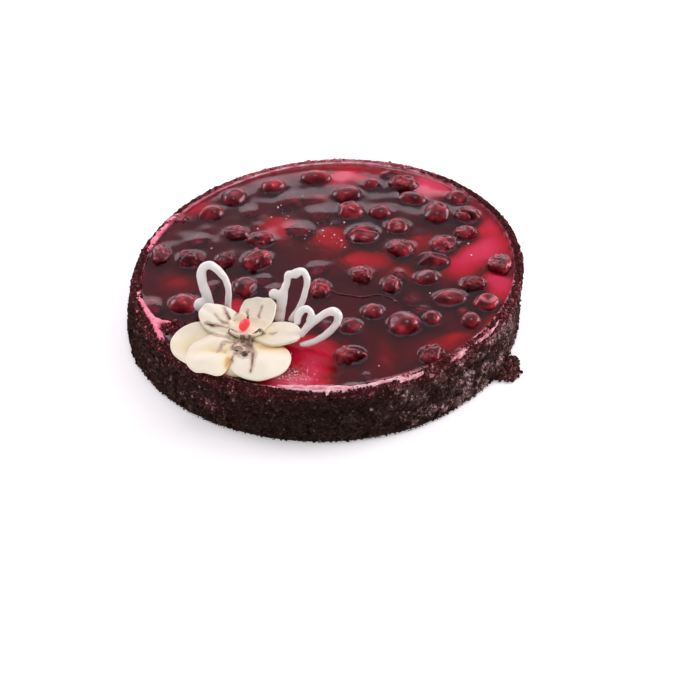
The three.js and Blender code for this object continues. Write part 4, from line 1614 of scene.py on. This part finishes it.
# %% Where the streaks run
# The way of each streak in millimetres from the flower's middle, with its radius.
STREAKS = {
    "left_upper": [(-23, 8, 0.4), (-19, 6, 1.4), (-14.5, 5.5, 0.7), (-10.5, 4.5, 0.4)],
    "left_dark": [(-10.5, 0.8, 0.4), (-8, -1.3, 1.1), (-5, -2.4, 0.5)],
    "bundle_upper": [(-19.5, -0.5, 0.5), (-15, -2, 0.4), (-9.5, -4, 0.3)],
    "bundle_lower": [(-18, -2.5, 0.3), (-13, -4.5, 0.3), (-7.5, -6, 0.4), (-3.5, -5.5, 0.8)],
    "left_tail": [(-15.5, -17, 0.4), (-14, -13, 0.7), (-12, -9, 0.7), (-8.5, -8, 0.7), (-5, -7, 0.8)],
    "back_left_low": [(-18, 14.5, 0.3), (-15.5, 11, 0.5), (-13, 8.5, 1.0), (-10.5, 8.5, 0.9)],
    "back_left_high": [(-13, 21, 0.6), (-11.5, 15.5, 1.3), (-9.5, 11, 1.0)],
    "spike": [(-5.5, 19, 0.3), (-5.6, 14, 1.2), (-6.5, 8, 1.1)],
    "back_one": [(0.4, 15.5, 0.4), (0.5, 9, 1.1)],
    "back_two": [(8.5, 14.5, 0.4), (6, 8, 0.8)],
    "right_dark": [(3.5, -4.4, 0.7), (6.5, -2.9, 1.2), (10, -0.8, 0.6)],
    "right_small": [(13, -1, 0.3), (15, -1.5, 0.9), (17, -1, 0.4)],
    "neck": [(-2, -4.5, 1.3), (-2.2, -7.5, 1.7), (-1, -11, 1.5)],
    "neck_left": [(-4, -6.5, 0.8), (-7, -10, 0.9), (-8, -13.5, 0.6)],
    "bar": [(-6, -17.5, 1.0), (-3, -16.5, 1.7), (1.5, -15.5, 1.7)],
    "hole": [(-2.4, -19, 1.4), (-0.6, -19, 2.6), (1.6, -18.6, 1.8)],
    "tail": [(2, -5.5, 0.7), (3, -12, 1.1), (4.2, -17, 1.6), (4, -26, 1.1), (3, -33, 0.4)],
    "tail_inner": [(0, -7, 0.8), (1, -12, 1.2), (2, -17, 1.7)],
    "low_left": [(-6, -17, 0.5), (-7.5, -21, 0.35), (-7.5, -24, 0.2)],
}
STREAK_LOWEST = 7 * MM
petal_tree = drop_tree(*petals, cup, heart)


def on_flower(x, y):
    """A place on the flower's surface, from millimetres beside its middle."""
    x, y = FLOWER[0] + x * MM, FLOWER[1] + y * MM
    return x, y, max(surface_height(petal_tree, x, y) or 0, jelly_height(x) + STREAK_LOWEST)


print(len(STREAKS), "streaks")

# %% The brown that the cream takes on
WASH_WIDE = 1.5
WASH_EDGE = 0.7
WASH_MOST = 0.85
CUP_WASH = 0.02


def washed(points):
    """How strongly the streaks colour the cream beside them."""
    flat = (points[:, :2] - FLOWER) / MM
    flat += 0.7 * wander(points, 2.2 * MM, (92, 93))
    share = np.zeros(len(points))
    for way in STREAKS.values():
        for (x, y, radius), (next_x, next_y, next_radius) in zip(way, way[1:]):
            step = np.array([next_x - x, next_y - y])
            past = np.clip((flat - (x, y)) @ step / (step @ step), 0, 1)
            far = np.linalg.norm(flat - (x, y) - past[:, None] * step, axis=1)
            reach = WASH_WIDE * (radius + past * (next_radius - radius)) + WASH_EDGE
            share = np.maximum(share, 1 - ease(far / reach, 0.35, 1))
    return WASH_MOST * share


for piece in (*petals, heart):
    add_values(piece, "wash", washed(get_points(piece)))
add_values(cup, "wash", CUP_WASH * washed(get_points(cup)))
print("washed", len(petals) + 2, "pieces")

# %% The streaks' mesh
STREAK_SINK = 0.55
KNOB_PLACE = (-4.5, -13.5)
KNOB_HALF = (3.1 * MM, 2.4 * MM, 1.2 * MM)
# Places and radii of what is darkest in the streaks: the two largest, at the hole, are painted shade where
# the petals part; the rest are darker brown.
DARK_SPOTS = [
    (-0.6, -19, 3.2), (1.4, -18.6, 2.4), (-8, -1.3, 2.0), (-19, 6, 0.9), (6.5, -2.9, 2.0),
    (-0.8, -14.6, 1.1), (-5, -16, 0.9), (1, -9, 0.9),
]

strands = []
for way in STREAKS.values():
    spots = []
    shares = np.linspace(0, len(way) - 1, 3 * len(way))
    for x, y, radius in np.stack([np.interp(shares, range(len(way)), column) for column in zip(*way)], 1):
        x, y, height = on_flower(x, y)
        spots.append((x, y, height - STREAK_SINK * radius * MM, radius * MM))
    strands.append(drawn_strand("streak", spots, steps=2))
strands.append(ball("knob", on_flower(*KNOB_PLACE), KNOB_HALF))
streaks = melt("brown_streaks", strands, 0.25 * MM, 1)
roughen(streaks, 0.2 * MM, 1.2 * MM, 91)
points = get_points(streaks)
above = [z - (surface_height(petal_tree, x, y) or 0) for x, y, z in points]
add_values(streaks, "thick", ease(np.array(above), 0.05 * MM, 0.45 * MM))
dark = np.zeros(len(points))
for x, y, radius in DARK_SPOTS:
    far = np.hypot(points[:, 0] - FLOWER[0] - x * MM, points[:, 1] - FLOWER[1] - y * MM)
    dark = np.maximum(dark, 1 - ease(far, 0.6 * radius * MM, 1.1 * radius * MM))
add_values(streaks, "dark", dark)
finish_piece(streaks, streak_look, "crumb")
print("streaks", len(streaks.data.polygons), "faces")

# %% [markdown]
# ## White loops
# Three loops of a stiff white strand stand behind the flower. Two have a blob where the strand began, and
# the right one is a large loop with a small one. The strand was squeezed out by hand, so its thickness
# changes all the way. Each loop is drawn as a curve in its own leaning plane, with a radius at every point,
# and melted together with its blob.

# %% The loops' ways
# Where each loop stands, its strands as (across, up, radius), and its blobs as (across, up, radius).
LOOPS = {
    "loop_left": ((-60, -41), [[
        (-3.5, 3.5, 2.6), (-5.2, 10, 2.8), (-7, 16, 2.7), (-7.6, 21, 2.7), (-6.7, 25.5, 2.5),
        (-3.8, 27.6, 2.4), (-0.5, 26.5, 2.3), (2.8, 23.3, 2.1), (5.5, 19.4, 1.9), (7, 15, 1.8),
        (7.3, 10, 1.8), (7, 4.3, 1.8), (6.8, 0.2, 1.8),
    ]], [(-8.4, 3.4, 4.2), (-6, 5.5, 3.4)]),
    "loop_middle": ((-18, -53), [[
        (-6, 0.6, 2.7), (-5, 6.3, 2.6), (-4.6, 10.5, 2.9), (-4, 15.5, 3.1), (-2.8, 19.7, 2.2),
        (-1.4, 23.2, 2.0), (-1, 26, 2.0), (-0.4, 28.2, 2.0), (1.8, 28.2, 2.2), (4.1, 29, 2.6),
        (6.4, 30, 2.1), (8.5, 29, 1.9), (9.8, 26, 1.9), (9.9, 22.7, 1.8), (9.1, 18.9, 1.7),
        (8, 15, 1.7), (6.7, 11, 1.7), (4.9, 7.6, 1.7), (2.5, 3.7, 1.7), (0, 0, 1.6),
    ]], [(-8.6, 16.5, 3.1), (-6.5, 15.8, 3.0), (3.6, 27.8, 2.0)]),
    "loop_right": ((-7, -75), [[
        (-5.1, 5.3, 1.7), (-2.4, 9.1, 2.1), (0.2, 12.2, 2.4), (3.5, 14.5, 2.1), (6.9, 17.2, 2.0),
        (10.3, 19.2, 2.1), (13.5, 19.6, 2.4), (15.8, 17.8, 2.3), (15.7, 14.1, 2.2), (13.8, 10.8, 2.0),
        (10.9, 7.5, 1.9), (6.9, 4.2, 1.8), (2.7, 2.0, 1.7), (-1.6, 0.4, 1.6), (-5.4, 0.1, 1.0),
    ], [
        (-6.8, 12.6, 1.7), (-5.9, 17.3, 2.0), (-4.2, 20.2, 2.1), (-1.6, 21.4, 1.9), (0.6, 19.9, 1.8),
        (1.1, 17.3, 2.0), (0.4, 13.8, 2.3),
    ]], []),
}
LOOP_LEAN = math.radians(15)
LOOP_LIFT = 2.5 * MM


def loop_place(foot, across, up):
    """A place in the leaning plane of a loop, in metres."""
    return (
        (foot[0] + across) * MM,
        (foot[1] + up * math.sin(LOOP_LEAN)) * MM,
        jelly_height(foot[0] * MM) + LOOP_LIFT + up * math.cos(LOOP_LEAN) * MM,
    )


print(len(LOOPS), "loops of", sum(len(ways) for foot, ways, blobs in LOOPS.values()), "strands")

# %% The loops' meshes
BLOB_FLAT = 0.85

for index, (node, (foot, ways, blobs)) in enumerate(LOOPS.items()):
    drawn = []
    for way in ways:
        spots = [(*loop_place(foot, across, up), radius * MM) for across, up, radius in way]
        drawn.append(drawn_strand("strand", spots))
    for across, up, radius in blobs:
        half = (radius * MM, BLOB_FLAT * radius * MM, radius * MM)
        drawn.append(ball("blob", loop_place(foot, across, up), half))
    loop = melt("white_" + node, drawn, 0.4 * MM, 3)
    roughen(loop, 0.3 * MM, 4 * MM, 95 + index, push=0.1 * MM)
    finish_piece(loop, strand_look, "white", node)
    print(loop.name, len(loop.data.polygons), "faces")
